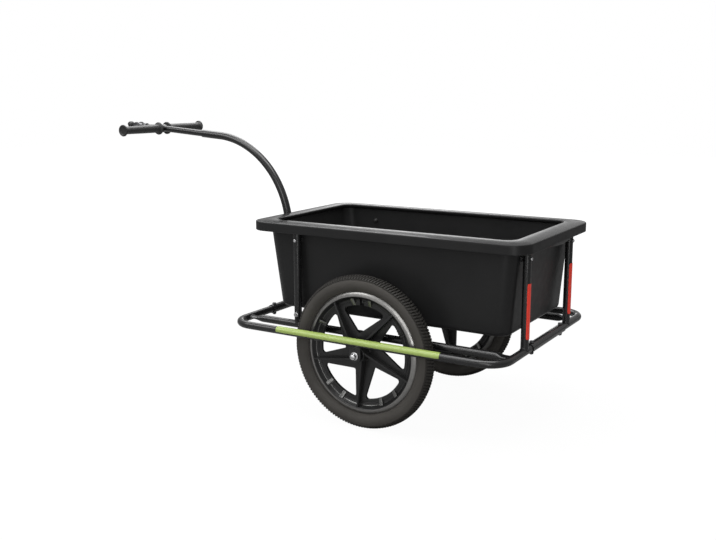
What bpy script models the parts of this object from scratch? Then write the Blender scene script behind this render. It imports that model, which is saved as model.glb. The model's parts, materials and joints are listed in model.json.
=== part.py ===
"""Two-wheeled bicycle trailer: a moulded tub on a tube frame, with a T-handle drawbar and a pin hitch.

X runs from the hitch (-X, forward) to the tail (+X), Y across, Z up from the ground, in metres.
Places along X are measured from the wheel axle, and one empty shifts the whole trailer to its origin,
which is the middle of its bounding box on the ground.
"""

import math

import bmesh
import bpy
from mathutils import Vector

# Gaps and clearances
GAP = 0.0003
BOLT_HOLE_CLEARANCE = 0.0005
TELESCOPE_CLEARANCE = 0.0005
RUNNING_CLEARANCE = 0.0004
PIN_CLEARANCE = 0.0006

# Wheels, of the 16 x 1.75 size
BEAD_RADIUS = 0.1525
TYRE_HEIGHT = 0.0470
TYRE_WIDTH = 0.0470
TYRE_WALL = 0.0035
TREAD_THICKNESS = 0.0063
TREAD_FLAT = 0.0180
TYRE_SHOULDER_HEIGHT = 0.0390
TYRE_SHOULDER_WIDTH = 0.0380
TYRE_WIDEST_HEIGHT = 0.0235
RIM_BED_WIDTH = 0.0190
RIM_FLANGE_HEIGHT = 0.0060
RIM_FLANGE_THICKNESS = 0.0045
RIM_FLANGE_LEAN = 0.0015
RIM_FACE_LEAN = 0.0020
RIM_DEPTH = 0.0150
RIM_ROOT_STEP = 0.0010
RIM_EDGE_DEPTH = 0.0080
WEB_THICKNESS = 0.0080
WEB_RING_WIDTH = 0.0155
SPOKE_COUNT = 5
SPOKE_TILT_DEG = 8.5
SPOKE_CROSSING_RADIUS = 0.0800
SPOKE_HALF_WIDTH = 0.0200
SPOKE_TAPER_DEG = 9.5
WINDOW_INNER_FILLET = 0.0050
WINDOW_OUTER_FILLET = 0.0080
FIN_THICKNESS = 0.0055
FIN_EDGE_DROP = 0.0005
FIN_ROOT_OVERLAP = 0.0030
FIN_TIP_OVERLAP = 0.0020
WEB_OVERLAP = 0.0060
HUB_RADIUS = 0.0230
HUB_LENGTH = 0.0580
HUB_BORE_RADIUS = 0.0110
BEARING_RADIUS = 0.0130
BEARING_WIDTH = 0.0080
AXLE_RADIUS = 0.0050
AXLE_HEAD_RADIUS = 0.0092
AXLE_HEAD_HEIGHT = 0.0064
AXLE_NUT_FLANGE_RADIUS = 0.0105
AXLE_NUT_FLANGE_HEIGHT = 0.0020
AXLE_NUT_HEX_RADIUS = 0.0086
AXLE_NUT_HEX_START = 0.0032
AXLE_NUT_HEIGHT = 0.0100
AXLE_THREAD_STAND = 0.0035
SPACER_RADIUS = 0.0085
TUBE_SECTION_RADIUS = 0.0150
TUBE_RUBBER = 0.0015
VALVE_RADIUS = 0.0030
VALVE_BORE_RADIUS = 0.0012
VALVE_LENGTH = 0.0340
VALVE_FOOT_OVERLAP = 0.0009
VALVE_POCKET_WIDTH = 0.0120
VALVE_POCKET_OVERLAP = 0.0040

# Frame of round steel tube
TUBE_RADIUS = 0.0100
TUBE_WALL = 0.0015
RAIL_ABOVE_AXLE = 0.0341
INNER_RAIL_Y = 0.2125
RAIL_SPACING = 0.0780
FRAME_REAR = 0.3900
RAIL_CORNER_RADIUS = 0.0570
SLEEVE_WALL = 0.0015
SLEEVE_HALF_LENGTH = 0.1150
STUB_OVERLAP = 0.0350
SLEEVE_BOLT_FROM_END = 0.0140
RAIL_END_FLAT_HEIGHT = 0.0080
RAIL_END_FLAT_WIDTH = 0.0260
RAIL_END_FLAT_LENGTH = 0.0120
RAIL_END_TAPER = 0.0240
DROPOUT_WIDTH = 0.0340
DROPOUT_THICKNESS = 0.0040
FRONT_POST_X = 0.2265
REAR_POST_Y = 0.1470
SPIGOT_RADIUS = 0.0078
SPIGOT_HEIGHT = 0.0415
SPIGOT_BOLT_HEIGHT = 0.0280

# Fasteners of the M6 size
BOLT_RADIUS = 0.0030
BOLT_HEAD_RADIUS = 0.0056
BOLT_HEAD_HEIGHT = 0.0035
NUT_RADIUS = 0.0056
NUT_HEIGHT = 0.0050

# Tub
RIM_ABOVE_RAIL = 0.2738
TUB_DEPTH = 0.2364
TUB_LENGTH = 0.7167
TUB_WALL = 0.0040
SIDE_DRAFT = 0.0102
REAR_DRAFT = 0.0177
FRONT_DRAFT = 0.0295
BODY_CORNER_RADIUS = 0.0360
FLOOR_FILLET = 0.0135
SKIRT_GAP_SIDE = 0.0070
SKIRT_GAP_REAR = 0.0150
FRONT_OVERHANG = 0.0340
FRONT_TUBE_AHEAD_OF_RIM = 0.0190
RIM_WIDTH = 0.0500
RIM_CORNER_RADIUS = 0.0500
RIM_INNER_CORNER_RADIUS = 0.0300
RIM_EDGE_ROUND = 0.0025
SKIRT_DEPTH = 0.0265
LIP_DEPTH = 0.0120
LIP_CURVE_HEIGHT = 0.0046
LIP_CURVE_SHARE = 0.6500
FINGER_GRIP_HALF_WIDTH = 0.0700
FINGER_GRIP_FLARE = 0.0045
FINGER_GRIP_DIP = 0.0030
POST_BOLT_DROP = 0.0459
BOLT_BOSS_RADIUS = 0.0085

# Drawbar and T-handle
DRAWBAR_RADIUS = 0.0112
DRAWBAR_WALL = 0.0015
DRAWBAR_LEAN_DEG = 4.05
DRAWBAR_RISE_DEG = 4.15
DRAWBAR_BEND_RADIUS = 0.2695
HANDLE_AHEAD_OF_FRAME = 0.4965
HANDLE_ABOVE_RAIL = 0.4959
STEM_VISIBLE = 0.1650
STEM_INSERT = 0.0400
STEM_WALL = 0.0015
SOCKET_WALL = 0.0022
SOCKET_TOP = 0.0960
SOCKET_BOLT_HEIGHT = 0.0560
HANDLE_TUBE_RADIUS = 0.0095
HANDLE_HALF_LENGTH = 0.1640
TEE_HUB_RADIUS = 0.0125
GRIP_INNER_END = 0.0160
GRIP_OUTER_END = 0.1710
GRIP_ROOT_RADIUS = 0.0125
GRIP_TIP_RADIUS = 0.0114
GRIP_INNER_FLANGE_RADIUS = 0.0190
GRIP_OUTER_FLANGE_RADIUS = 0.0173
GRIP_FLANGE_WIDTH = 0.0050
GRIP_FLANGE_BLEND = 0.0035
GRIP_CAP_RADIUS = 0.0125
GRIP_CAP_DIP = 0.0015
GRIP_CAP_SLOPE = 0.0010

# Hitch
STUB_RADIUS = 0.0108
STUB_LENGTH = 0.0737
STUB_BORE_RADIUS = 0.0092
STUB_BORE_DEPTH = 0.0300
SWIVEL_NUT_RADIUS = 0.0148
SWIVEL_NUT_LENGTH = 0.0150
SWIVEL_NUT_OVERLAP = 0.0072
SWIVEL_NUT_CHAMFER = 0.0010
SWIVEL_SHAFT_RADIUS = 0.0060
SWIVEL_HEAD_RADIUS = 0.0085
SWIVEL_HEAD_HEIGHT = 0.0050
EYE_RADIUS = 0.0150
EYE_THICKNESS = 0.0160
PITCH_PIN_RADIUS = 0.0040
PITCH_PIN_HEAD_RADIUS = 0.0070
PITCH_PIN_HEAD_TOP_RADIUS = 0.0056
PITCH_PIN_HEAD_HEIGHT = 0.0030
CHEEK_RADIUS = 0.0180
CHEEK_ARC_DEG = 130.0
CHEEK_THICKNESS = 0.0040
CHEEK_SWING_GAP = 0.0010
JAW_REAR_GAP = 0.0035
JAW_WALL = 0.0040
JAW_LENGTH = 0.0305
JAW_MOUTH = 0.0120
JAW_TOP_DROP = 0.0005
JAW_PIN_REACH = 0.0125
HITCH_PIN_RADIUS = 0.0040
HITCH_PIN_FLANGE_RADIUS = 0.0095
HITCH_PIN_FLANGE_HEIGHT = 0.0036
HITCH_PIN_RECESS = 0.0005
HITCH_PIN_TIP_RADIUS = 0.0028
HITCH_PIN_TIP_HEIGHT = 0.0015
KNOB_TOP_RADIUS = 0.0060
KNOB_SHOULDER_RADIUS = 0.0099
KNOB_RADIUS = 0.0110
KNOB_FOOT_RADIUS = 0.0090
KNOB_HEIGHT = 0.0155
KNOB_TOP_DROP = 0.0012
KNOB_SHOULDER_DROP = 0.0045
KNOB_WIDEST_DROP = 0.0085
KNOB_STUD_RADIUS = 0.0030
KNOB_STUD_LENGTH = 0.0100

# Reflective strips
STRIP_THICKNESS = 0.0006
RAIL_STRIP_LENGTH = 0.4750
RAIL_STRIP_ARC_DEG = (-13.0, 100.0)
POST_STRIP_LENGTH = 0.1360
POST_STRIP_FOOT = 0.0324
POST_STRIP_ARC_DEG = (-57.0, 57.0)

# Fineness of round shapes
TUBE_SIDES = 12
EYE_SIDES = 16
WHEEL_STEPS = 32
BORE_SIDES = 6
STRIP_STEPS = 8
DROPOUT_STEPS = 8
AIR_RING_SIDES = 6
AIR_RING_STEPS = 16
RAIL_BEND_STEPS = 4
DRAWBAR_BEND_STEPS = 8
TUB_CORNER_STEPS = 4
FINGER_GRIP_POINTS = 7
SMOOTH_BELOW_DEG = 40.0
WELD_DISTANCE = 0.000001
BORE_OVERRUN = 0.0100

# Sizes that follow from the ones above
AXLE_Z = BEAD_RADIUS + TYRE_HEIGHT
RAIL_Z = AXLE_Z + RAIL_ABOVE_AXLE
OUTER_RAIL_Y = INNER_RAIL_Y + RAIL_SPACING
WHEEL_Y = INNER_RAIL_Y + RAIL_SPACING / 2
SLEEVE_RADIUS = TUBE_RADIUS + TELESCOPE_CLEARANCE + SLEEVE_WALL
RIM_Z = RAIL_Z + RIM_ABOVE_RAIL
TUB_FLOOR_Z = RIM_Z - TUB_DEPTH
BODY_REAR = FRAME_REAR - TUBE_RADIUS - GAP
BODY_FRONT = BODY_REAR - TUB_LENGTH
BODY_HALF_WIDTH = INNER_RAIL_Y - TUBE_RADIUS - GAP
RIM_FRONT = BODY_FRONT - FRONT_OVERHANG
FRAME_FRONT = FRONT_TUBE_AHEAD_OF_RIM - RIM_FRONT
RIM_REAR = BODY_REAR + GAP + 2 * TUBE_RADIUS + SKIRT_GAP_REAR + TUB_WALL
RIM_HALF_WIDTH = BODY_HALF_WIDTH + GAP + 2 * TUBE_RADIUS + SKIRT_GAP_SIDE + TUB_WALL
POST_TOP_Z = RIM_Z - TUB_WALL - GAP
POST_BOLT_Z = RIM_Z - POST_BOLT_DROP
BOLT_HOLE_RADIUS = BOLT_RADIUS + BOLT_HOLE_CLEARANCE
HITCH_Z = RAIL_Z + HANDLE_ABOVE_RAIL
HANDLE_X = -FRAME_FRONT - HANDLE_AHEAD_OF_FRAME
STEM_RADIUS = DRAWBAR_RADIUS - DRAWBAR_WALL - TELESCOPE_CLEARANCE
SOCKET_RADIUS = DRAWBAR_RADIUS + TELESCOPE_CLEARANCE + SOCKET_WALL
STUB_END_X = HANDLE_X - STUB_LENGTH
NUT_REAR_X = STUB_END_X + SWIVEL_NUT_OVERLAP
NUT_FRONT_X = NUT_REAR_X - SWIVEL_NUT_LENGTH
PITCH_X = NUT_FRONT_X - CHEEK_RADIUS - CHEEK_SWING_GAP
JAW_REAR_X = PITCH_X - EYE_RADIUS - JAW_REAR_GAP
JAW_TIP_X = JAW_REAR_X - JAW_WALL - JAW_LENGTH
HITCH_PIN_X = JAW_REAR_X - JAW_WALL - JAW_PIN_REACH
JAW_TOP_Z = HITCH_Z - JAW_TOP_DROP
JAW_BOTTOM_Z = JAW_TOP_Z - 2 * JAW_WALL - JAW_MOUTH
FORK_HALF_WIDTH = EYE_THICKNESS / 2 + GAP + CHEEK_THICKNESS
TRAILER_FRONT = JAW_TIP_X
TRAILER_REAR = max(RIM_REAR + FINGER_GRIP_FLARE, FRAME_REAR + SLEEVE_RADIUS)

# Colours, roughness and metallic value of each finish
FINISHES = {
    "black_paint": ((0.020, 0.020, 0.021), 0.38, 0.0),
    "black_plastic": ((0.018, 0.018, 0.018), 0.50, 0.0),
    "tub_plastic": ((0.016, 0.016, 0.017), 0.55, 0.0),
    "tyre_rubber": ((0.050, 0.047, 0.043), 0.75, 0.0),
    "tube_rubber": ((0.030, 0.030, 0.030), 0.60, 0.0),
    "zinc": ((0.600, 0.600, 0.610), 0.35, 1.0),
    "black_zinc": ((0.060, 0.060, 0.062), 0.40, 1.0),
    "lime_film": ((0.480, 0.680, 0.170), 0.40, 0.0),
    "red_film": ((0.620, 0.035, 0.018), 0.40, 0.0),
}


# Scene bookkeeping

def clear_scene():
    for thing in list(bpy.data.objects):
        bpy.data.objects.remove(thing, do_unlink=True)
    parts = bpy.data.collections.new("bicycle_trailer")
    tools = bpy.data.collections.new("cutters")
    for group in (parts, tools):
        bpy.context.scene.collection.children.link(group)
    return parts, tools


PARTS, TOOLS = clear_scene()


def finish(name, kind):
    """Give one piece its own plain material."""
    colour, roughness, metallic = FINISHES[kind]
    material = bpy.data.materials.new(name + "_" + kind)
    material.use_nodes = True
    shader = material.node_tree.nodes["Principled BSDF"]
    shader.inputs["Base Color"].default_value = (*colour, 1.0)
    shader.inputs["Roughness"].default_value = roughness
    shader.inputs["Metallic"].default_value = metallic
    material.diffuse_color = (*colour, 1.0)
    return material


def empty(name, spot, turn=(0.0, 0.0, 0.0), parent=None):
    marker = bpy.data.objects.new(name, None)
    marker.location = spot
    marker.rotation_euler = turn
    marker.parent = parent
    marker.empty_display_size = 0.02
    PARTS.objects.link(marker)
    return marker


def part(name, data, kind, parent, spot=(0.0, 0.0, 0.0), turn=(0.0, 0.0, 0.0)):
    """Put one sub-part in the parts collection."""
    piece = bpy.data.objects.new(name, data)
    piece.location = spot
    piece.rotation_euler = turn
    piece.parent = parent
    PARTS.objects.link(piece)
    if not data.materials:
        data.materials.append(finish(name, kind))
    return piece


def tool(name, data, parent, spot=(0.0, 0.0, 0.0), turn=(0.0, 0.0, 0.0)):
    """Put one shape that cuts or joins another in the cutters collection."""
    shape = bpy.data.objects.new(name, data)
    shape.location = spot
    shape.rotation_euler = turn
    shape.parent = parent
    shape.hide_render = True
    shape.display_type = "WIRE"
    TOOLS.objects.link(shape)
    return shape


def boolean(piece, other, operation):
    step = piece.modifiers.new(operation.lower() + "_" + other.name, "BOOLEAN")
    step.operation = operation
    step.solver = "EXACT"
    step.object = other


def cut(piece, cutter):
    boolean(piece, cutter, "DIFFERENCE")


def join(piece, other):
    boolean(piece, other, "UNION")


def evaluated_mesh(thing, name):
    """The mesh that an object's curve or modifiers make, welded, as a mesh of its own."""
    bpy.context.view_layer.update()
    graph = bpy.context.evaluated_depsgraph_get()
    mesh = bpy.data.meshes.new_from_object(thing.evaluated_get(graph), depsgraph=graph)
    mesh.name = name
    return smooth(weld(mesh))


# Shapes

def smooth(mesh):
    mesh.shade_smooth()
    mesh.set_sharp_from_angle(angle=math.radians(SMOOTH_BELOW_DEG))
    return mesh


def weld(mesh):
    """Merge the points that lie on one another."""
    work = bmesh.new()
    work.from_mesh(mesh)
    bmesh.ops.remove_doubles(work, verts=work.verts, dist=WELD_DISTANCE)
    work.to_mesh(mesh)
    work.free()
    return mesh


def cylinder_mesh(name, radius, length, sides=TUBE_SIDES, base=0.0):
    """A cylinder along +Z that starts at the height base."""
    work = bmesh.new()
    bmesh.ops.create_cone(work, cap_ends=True, segments=sides, radius1=radius, radius2=radius, depth=length)
    bmesh.ops.translate(work, vec=(0.0, 0.0, base + length / 2), verts=work.verts)
    mesh = bpy.data.meshes.new(name)
    work.to_mesh(mesh)
    work.free()
    return smooth(mesh)


def box_mesh(name, low, high):
    work = bmesh.new()
    bmesh.ops.create_cube(work, size=1.0)
    bmesh.ops.scale(work, vec=[b - a for a, b in zip(low, high)], verts=work.verts)
    bmesh.ops.translate(work, vec=[(a + b) / 2 for a, b in zip(low, high)], verts=work.verts)
    mesh = bpy.data.meshes.new(name)
    work.to_mesh(mesh)
    work.free()
    return mesh


def turned(name, profile, kind, parent, steps, closed=False, spot=(0.0, 0.0, 0.0), turn=(0.0, 0.0, 0.0)):
    """A profile of (radius, height) points, spun about Z. It runs down its outer side."""
    mesh = bpy.data.meshes.new(name)
    edges = [(i, i + 1) for i in range(len(profile) - 1)]
    if closed:
        edges.append((len(profile) - 1, 0))
    mesh.from_pydata([(radius, 0.0, height) for radius, height in profile], edges, [])
    piece = part(name, mesh, kind, parent, spot, turn)
    add_screw(piece, steps)
    return piece


def add_screw(piece, steps):
    spin = piece.modifiers.new("spin", "SCREW")
    spin.axis = "Z"
    spin.steps = steps
    spin.render_steps = steps
    spin.use_merge_vertices = True
    spin.merge_threshold = 0.00001
    spin.use_smooth_shade = True


def add_wall(piece, thickness):
    """Thicken an open surface inwards."""
    shell = piece.modifiers.new("wall", "SOLIDIFY")
    shell.thickness = thickness
    shell.offset = -1.0
    shell.use_even_offset = True
    shell.use_rim = True


def loft_mesh(name, rings, capped=True):
    """Skin a row of sections that have the same number of points."""
    work = bmesh.new()
    rows = [[work.verts.new(point) for point in ring] for ring in rings]
    count = len(rows[0])
    for near, far in zip(rows, rows[1:]):
        for i in range(count):
            j = (i + 1) % count
            work.faces.new((near[i], near[j], far[j], far[i]))
    if capped:
        work.faces.new(list(reversed(rows[0])))
        work.faces.new(rows[-1])
    bmesh.ops.recalc_face_normals(work, faces=work.faces)
    mesh = bpy.data.meshes.new(name)
    work.to_mesh(mesh)
    work.free()
    return smooth(mesh)


def hex_section(radius, height):
    """A hexagon with a point at the middle of each side, to loft on to a round section of twelve."""
    inner = radius * math.cos(math.pi / 6)
    points = []
    for i in range(12):
        reach = radius if i % 2 == 0 else inner
        angle = math.radians(30 * i)
        points.append((reach * math.cos(angle), reach * math.sin(angle), height))
    return points


def round_section(radius, height, sides=TUBE_SIDES):
    angles = [2 * math.pi * i / sides for i in range(sides)]
    return [(radius * math.cos(angle), radius * math.sin(angle), height) for angle in angles]


def fillet_corner(before, corner, after, radius, steps):
    """The arc that rounds one corner of a path."""
    a = (before - corner).normalized()
    b = (after - corner).normalized()
    half = a.angle(b) / 2
    reach = radius / math.tan(half)
    centre = corner + (a + b).normalized() * (radius / math.sin(half))
    start = corner + a * reach - centre
    end = corner + b * reach - centre
    sweep = start.angle(end)
    points = []
    for i in range(steps + 1):
        share = i / steps
        weight_a = math.sin((1 - share) * sweep) / math.sin(sweep)
        weight_b = math.sin(share * sweep) / math.sin(sweep)
        points.append(centre + start * weight_a + end * weight_b)
    return points


def rounded_path(corners, radius, steps):
    """A path of straight runs whose inner corners are rounded."""
    corners = [Vector(point) for point in corners]
    path = [corners[0]]
    for before, corner, after in zip(corners, corners[1:], corners[2:]):
        path.extend(fillet_corner(before, corner, after, radius, steps))
    path.append(corners[-1])
    return path


def tube_mesh(name, path, radius, open_ends, sides=TUBE_SIDES):
    """A bevelled curve along a path, as a mesh. With open ends it is a surface for a tube's wall."""
    curve = bpy.data.curves.new(name, "CURVE")
    curve.dimensions = "3D"
    curve.twist_mode = "MINIMUM"
    curve.bevel_depth = radius
    curve.bevel_resolution = (sides - 4) // 2
    curve.use_fill_caps = not open_ends
    line = curve.splines.new("POLY")
    line.points.add(len(path) - 1)
    for point, place in zip(line.points, path):
        point.co = (*place, 1.0)
    guide = bpy.data.objects.new(name, curve)
    bpy.context.scene.collection.objects.link(guide)
    mesh = evaluated_mesh(guide, name)
    bpy.data.objects.remove(guide, do_unlink=True)
    bpy.data.curves.remove(curve)
    return mesh


def tube(name, path, radius, wall, kind, parent, spot=(0.0, 0.0, 0.0)):
    """A hollow tube along a path."""
    piece = part(name, tube_mesh(name, path, radius, True), kind, parent, spot)
    add_wall(piece, wall)
    return piece


def plate_mesh(name, outline, holes, thickness):
    """A flat outline with holes, extruded both ways along Z."""
    curve = bpy.data.curves.new(name, "CURVE")
    curve.dimensions = "2D"
    curve.fill_mode = "BOTH"
    curve.extrude = thickness / 2
    for loop in [outline] + list(holes):
        line = curve.splines.new("POLY")
        line.points.add(len(loop) - 1)
        for point, place in zip(line.points, loop):
            point.co = (place[0], place[1], 0.0, 1.0)
        line.use_cyclic_u = True
    guide = bpy.data.objects.new(name, curve)
    bpy.context.scene.collection.objects.link(guide)
    mesh = evaluated_mesh(guide, name)
    bpy.data.objects.remove(guide, do_unlink=True)
    bpy.data.curves.remove(curve)
    return mesh


def circle(radius, sides, centre=(0.0, 0.0)):
    angles = [2 * math.pi * i / sides for i in range(sides)]
    return [(centre[0] + radius * math.cos(angle), centre[1] + radius * math.sin(angle)) for angle in angles]


def arc(radius, start_deg, end_deg, steps, centre=(0.0, 0.0)):
    points = []
    for i in range(steps + 1):
        angle = math.radians(start_deg + (end_deg - start_deg) * i / steps)
        points.append((centre[0] + radius * math.cos(angle), centre[1] + radius * math.sin(angle)))
    return points


ALONG_X = (0.0, math.pi / 2, 0.0)
ALONG_Y = (-math.pi / 2, 0.0, 0.0)
ALONG_Z = (0.0, 0.0, 0.0)
AGAINST_X = (0.0, -math.pi / 2, 0.0)
AGAINST_Y = (math.pi / 2, 0.0, 0.0)
UPRIGHT_PLATE = (math.pi / 2, 0.0, 0.0)


def drill(piece, name, spot, turn, radius, length, parent, sides=BORE_SIDES):
    """Cut a round hole, centred on a spot and running both ways."""
    mesh = cylinder_mesh(name, radius, length, sides, -length / 2)
    cut(piece, tool(name, mesh, parent, spot, turn))


def bolt(name, grip, kind, parent, spot, turn):
    """An M6 bolt and nut as one piece. Its head's seat is at the spot, and the shank runs down -Z."""
    nut_top = -grip - GAP
    sections = [
        (BOLT_HEAD_RADIUS, BOLT_HEAD_HEIGHT + GAP),
        (BOLT_HEAD_RADIUS, GAP),
        (BOLT_RADIUS, GAP),
        (BOLT_RADIUS, nut_top),
        (NUT_RADIUS, nut_top),
        (NUT_RADIUS, nut_top - NUT_HEIGHT),
    ]
    rings = [round_section(radius, height, 6) for radius, height in sections]
    return part(name, loft_mesh(name, rings), kind, parent, spot, turn)


# Frame

SIDES = (("left", -1), ("right", 1))


def build_sleeve(name, x, root):
    """A cross sleeve, which couples the left and right rails' stubs."""
    ends = [(0.0, -SLEEVE_HALF_LENGTH, 0.0), (0.0, SLEEVE_HALF_LENGTH, 0.0)]
    sleeve = tube(name, ends, SLEEVE_RADIUS, SLEEVE_WALL, "black_paint", root, (x, 0.0, RAIL_Z))
    for side, sign in SIDES:
        spot = (x, sign * sleeve_bolt_y(), RAIL_Z)
        drill(sleeve, name + "_" + side + "_hole", spot, ALONG_Z, BOLT_HOLE_RADIUS, 4 * SLEEVE_RADIUS, root)
    return sleeve


def sleeve_bolt_y():
    return SLEEVE_HALF_LENGTH - SLEEVE_BOLT_FROM_END


def build_outer_rail(side, sign, root):
    """One bent tube: front stub, long side rail and rear stub."""
    stub_y = sign * (SLEEVE_HALF_LENGTH - STUB_OVERLAP)
    rail_y = sign * OUTER_RAIL_Y
    corners = [(-FRAME_FRONT, stub_y, 0.0), (-FRAME_FRONT, rail_y, 0.0),
               (FRAME_REAR, rail_y, 0.0), (FRAME_REAR, stub_y, 0.0)]
    path = rounded_path(corners, RAIL_CORNER_RADIUS, RAIL_BEND_STEPS)
    name = side + "_outer_rail"
    rail = tube(name, path, TUBE_RADIUS, TUBE_WALL, "black_paint", root, (0.0, 0.0, RAIL_Z))
    for end, x in (("front", -FRAME_FRONT), ("rear", FRAME_REAR)):
        spot = (x, sign * sleeve_bolt_y(), RAIL_Z)
        drill(rail, name + "_" + end + "_hole", spot, ALONG_Z, BOLT_HOLE_RADIUS, 4 * TUBE_RADIUS, root)
    return rail


def pressed_section(x, share):
    """A tube's section that goes from round, at share 0, to pressed flat, at share 1."""
    wide = TUBE_RADIUS + (RAIL_END_FLAT_WIDTH / 2 - TUBE_RADIUS) * share
    high = TUBE_RADIUS + (RAIL_END_FLAT_HEIGHT / 2 - TUBE_RADIUS) * share
    return [(x, wide * across, high * up) for across, up, _ in round_section(1.0, 0.0)]


def build_inner_rail(side, sign, root):
    """A straight rail whose pressed ends meet the stubs, with the spigot of the front post."""
    front = -FRAME_FRONT + TUBE_RADIUS + GAP
    rear = FRAME_REAR - TUBE_RADIUS - GAP
    flat = RAIL_END_FLAT_LENGTH
    taper = RAIL_END_TAPER
    stations = [(front, 1.0), (front + flat, 1.0), (front + flat + taper, 0.0),
                (rear - flat - taper, 0.0), (rear - flat, 1.0), (rear, 1.0)]
    rings = [pressed_section(x, share) for x, share in stations]
    name = side + "_inner_rail"
    rail = part(name, loft_mesh(name, rings, capped=False), "black_paint", root,
                (0.0, sign * INNER_RAIL_Y, RAIL_Z))
    add_wall(rail, TUBE_WALL)
    foot = TUBE_RADIUS / 2
    spigot = cylinder_mesh(name + "_spigot", SPIGOT_RADIUS, SPIGOT_HEIGHT - foot, base=foot)
    join(rail, tool(name + "_spigot", spigot, root, (-FRONT_POST_X, sign * INNER_RAIL_Y, RAIL_Z)))
    spot = (-FRONT_POST_X, sign * INNER_RAIL_Y, RAIL_Z + SPIGOT_BOLT_HEIGHT)
    drill(rail, name + "_spigot_hole", spot, ALONG_Y, BOLT_HOLE_RADIUS, 4 * TUBE_RADIUS, root)
    return rail


def build_post(name, x, y, rail_turn, bolt_turn, root):
    """An upright whose foot is cut to sit on a rail, with the hole of the tub's bolt."""
    path = [(0.0, 0.0, 0.0), (0.0, 0.0, POST_TOP_Z - RAIL_Z)]
    post = tube(name, path, TUBE_RADIUS, TUBE_WALL, "black_paint", root, (x, y, RAIL_Z))
    saddle = cylinder_mesh(name + "_saddle", TUBE_RADIUS + GAP, 6 * TUBE_RADIUS, base=-3 * TUBE_RADIUS)
    cut(post, tool(name + "_saddle", saddle, root, (x, y, RAIL_Z), rail_turn))
    drill(post, name + "_hole", (x, y, POST_BOLT_Z), bolt_turn, BOLT_HOLE_RADIUS, 4 * TUBE_RADIUS, root)
    return post


def build_posts(root):
    for side, sign in SIDES:
        rail_y = sign * INNER_RAIL_Y
        post = build_post(side + "_front_post", -FRONT_POST_X, rail_y, ALONG_X, ALONG_Y, root)
        spot = (-FRONT_POST_X, rail_y, RAIL_Z + SPIGOT_BOLT_HEIGHT)
        drill(post, side + "_front_post_foot_hole", spot, ALONG_Y, BOLT_HOLE_RADIUS, 4 * TUBE_RADIUS, root)
        build_post(side + "_rear_post", FRAME_REAR, sign * REAR_POST_Y, ALONG_Y, ALONG_X, root)


def build_dropout(name, y, root):
    """A plate under a rail, with a round foot about the axle's hole."""
    half = DROPOUT_WIDTH / 2
    top = RAIL_ABOVE_AXLE - TUBE_RADIUS - GAP
    outline = [(half, top), (-half, top)] + arc(half, 180.0, 360.0, DROPOUT_STEPS)
    hole = circle(AXLE_RADIUS + GAP, TUBE_SIDES)
    mesh = plate_mesh(name, outline, [hole], DROPOUT_THICKNESS)
    return part(name, mesh, "black_paint", root, (0.0, y, AXLE_Z), UPRIGHT_PLATE)


def build_frame(root):
    for name, x in (("front_cross_sleeve", -FRAME_FRONT), ("rear_cross_sleeve", FRAME_REAR)):
        build_sleeve(name, x, root)
    for side, sign in SIDES:
        build_outer_rail(side, sign, root)
        build_inner_rail(side, sign, root)
        build_dropout(side + "_outer_dropout", sign * OUTER_RAIL_Y, root)
        build_dropout(side + "_inner_dropout", sign * INNER_RAIL_Y, root)
    build_posts(root)


def build_frame_bolts(root):
    """The sleeve bolts stand upright; the post bolts point inwards, with their nuts inside."""
    for side, sign in SIDES:
        inwards = ALONG_Y if sign > 0 else AGAINST_Y
        for end, x in (("front", -FRAME_FRONT), ("rear", FRAME_REAR)):
            bolt(end + "_" + side + "_sleeve_bolt", 2 * SLEEVE_RADIUS, "zinc", root,
                 (x, sign * sleeve_bolt_y(), RAIL_Z + SLEEVE_RADIUS), ALONG_Z)
        grip = 2 * TUBE_RADIUS
        bolt(side + "_front_post_foot_bolt", grip, "zinc", root,
             (-FRONT_POST_X, sign * (INNER_RAIL_Y + TUBE_RADIUS), RAIL_Z + SPIGOT_BOLT_HEIGHT), inwards)
        grip = 2 * TUBE_RADIUS + GAP + wall_inset(SIDE_DRAFT, POST_BOLT_Z - NUT_RADIUS) + TUB_WALL
        bolt(side + "_front_post_top_bolt", grip, "zinc", root,
             (-FRONT_POST_X, sign * (INNER_RAIL_Y + TUBE_RADIUS), POST_BOLT_Z), inwards)
        grip = 2 * TUBE_RADIUS + GAP + wall_inset(REAR_DRAFT, POST_BOLT_Z - NUT_RADIUS) + TUB_WALL
        bolt(side + "_rear_post_top_bolt", grip, "zinc", root,
             (FRAME_REAR + TUBE_RADIUS, sign * REAR_POST_Y, POST_BOLT_Z), ALONG_X)


# Tub

def wall_inset(draft, z):
    """How far a drafted wall stands inside its top edge, at a height."""
    return draft * (RIM_Z - z) / TUB_DEPTH


def grip_stations():
    """Places across the tail at which every section of the tub has a point."""
    step = 2 * FINGER_GRIP_HALF_WIDTH / (FINGER_GRIP_POINTS - 1)
    return [step * i - FINGER_GRIP_HALF_WIDTH for i in range(FINGER_GRIP_POINTS)]


def rounded_rectangle(front, rear, half_width, corner, z):
    """One level section, from the right rear corner round the nose to the tail's middle points."""
    points = []
    corners = ((rear, 1, 0.0), (front, 1, 90.0), (front, -1, 180.0), (rear, -1, 270.0))
    for x, sign, start in corners:
        inward = corner if x == front else -corner
        centre = (x + inward, sign * (half_width - corner))
        points += [(px, py, z) for px, py in arc(corner, start, start + 90.0, TUB_CORNER_STEPS, centre)]
    points += [(rear, y, z) for y in grip_stations()]
    return points


def body_section(inset, z, corner):
    """A section of the tub's body, a distance inside its drafted outer wall."""
    return rounded_rectangle(BODY_FRONT + wall_inset(FRONT_DRAFT, z) + inset,
                             BODY_REAR - wall_inset(REAR_DRAFT, z) - inset,
                             BODY_HALF_WIDTH - wall_inset(SIDE_DRAFT, z) - inset, corner, z)


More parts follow.
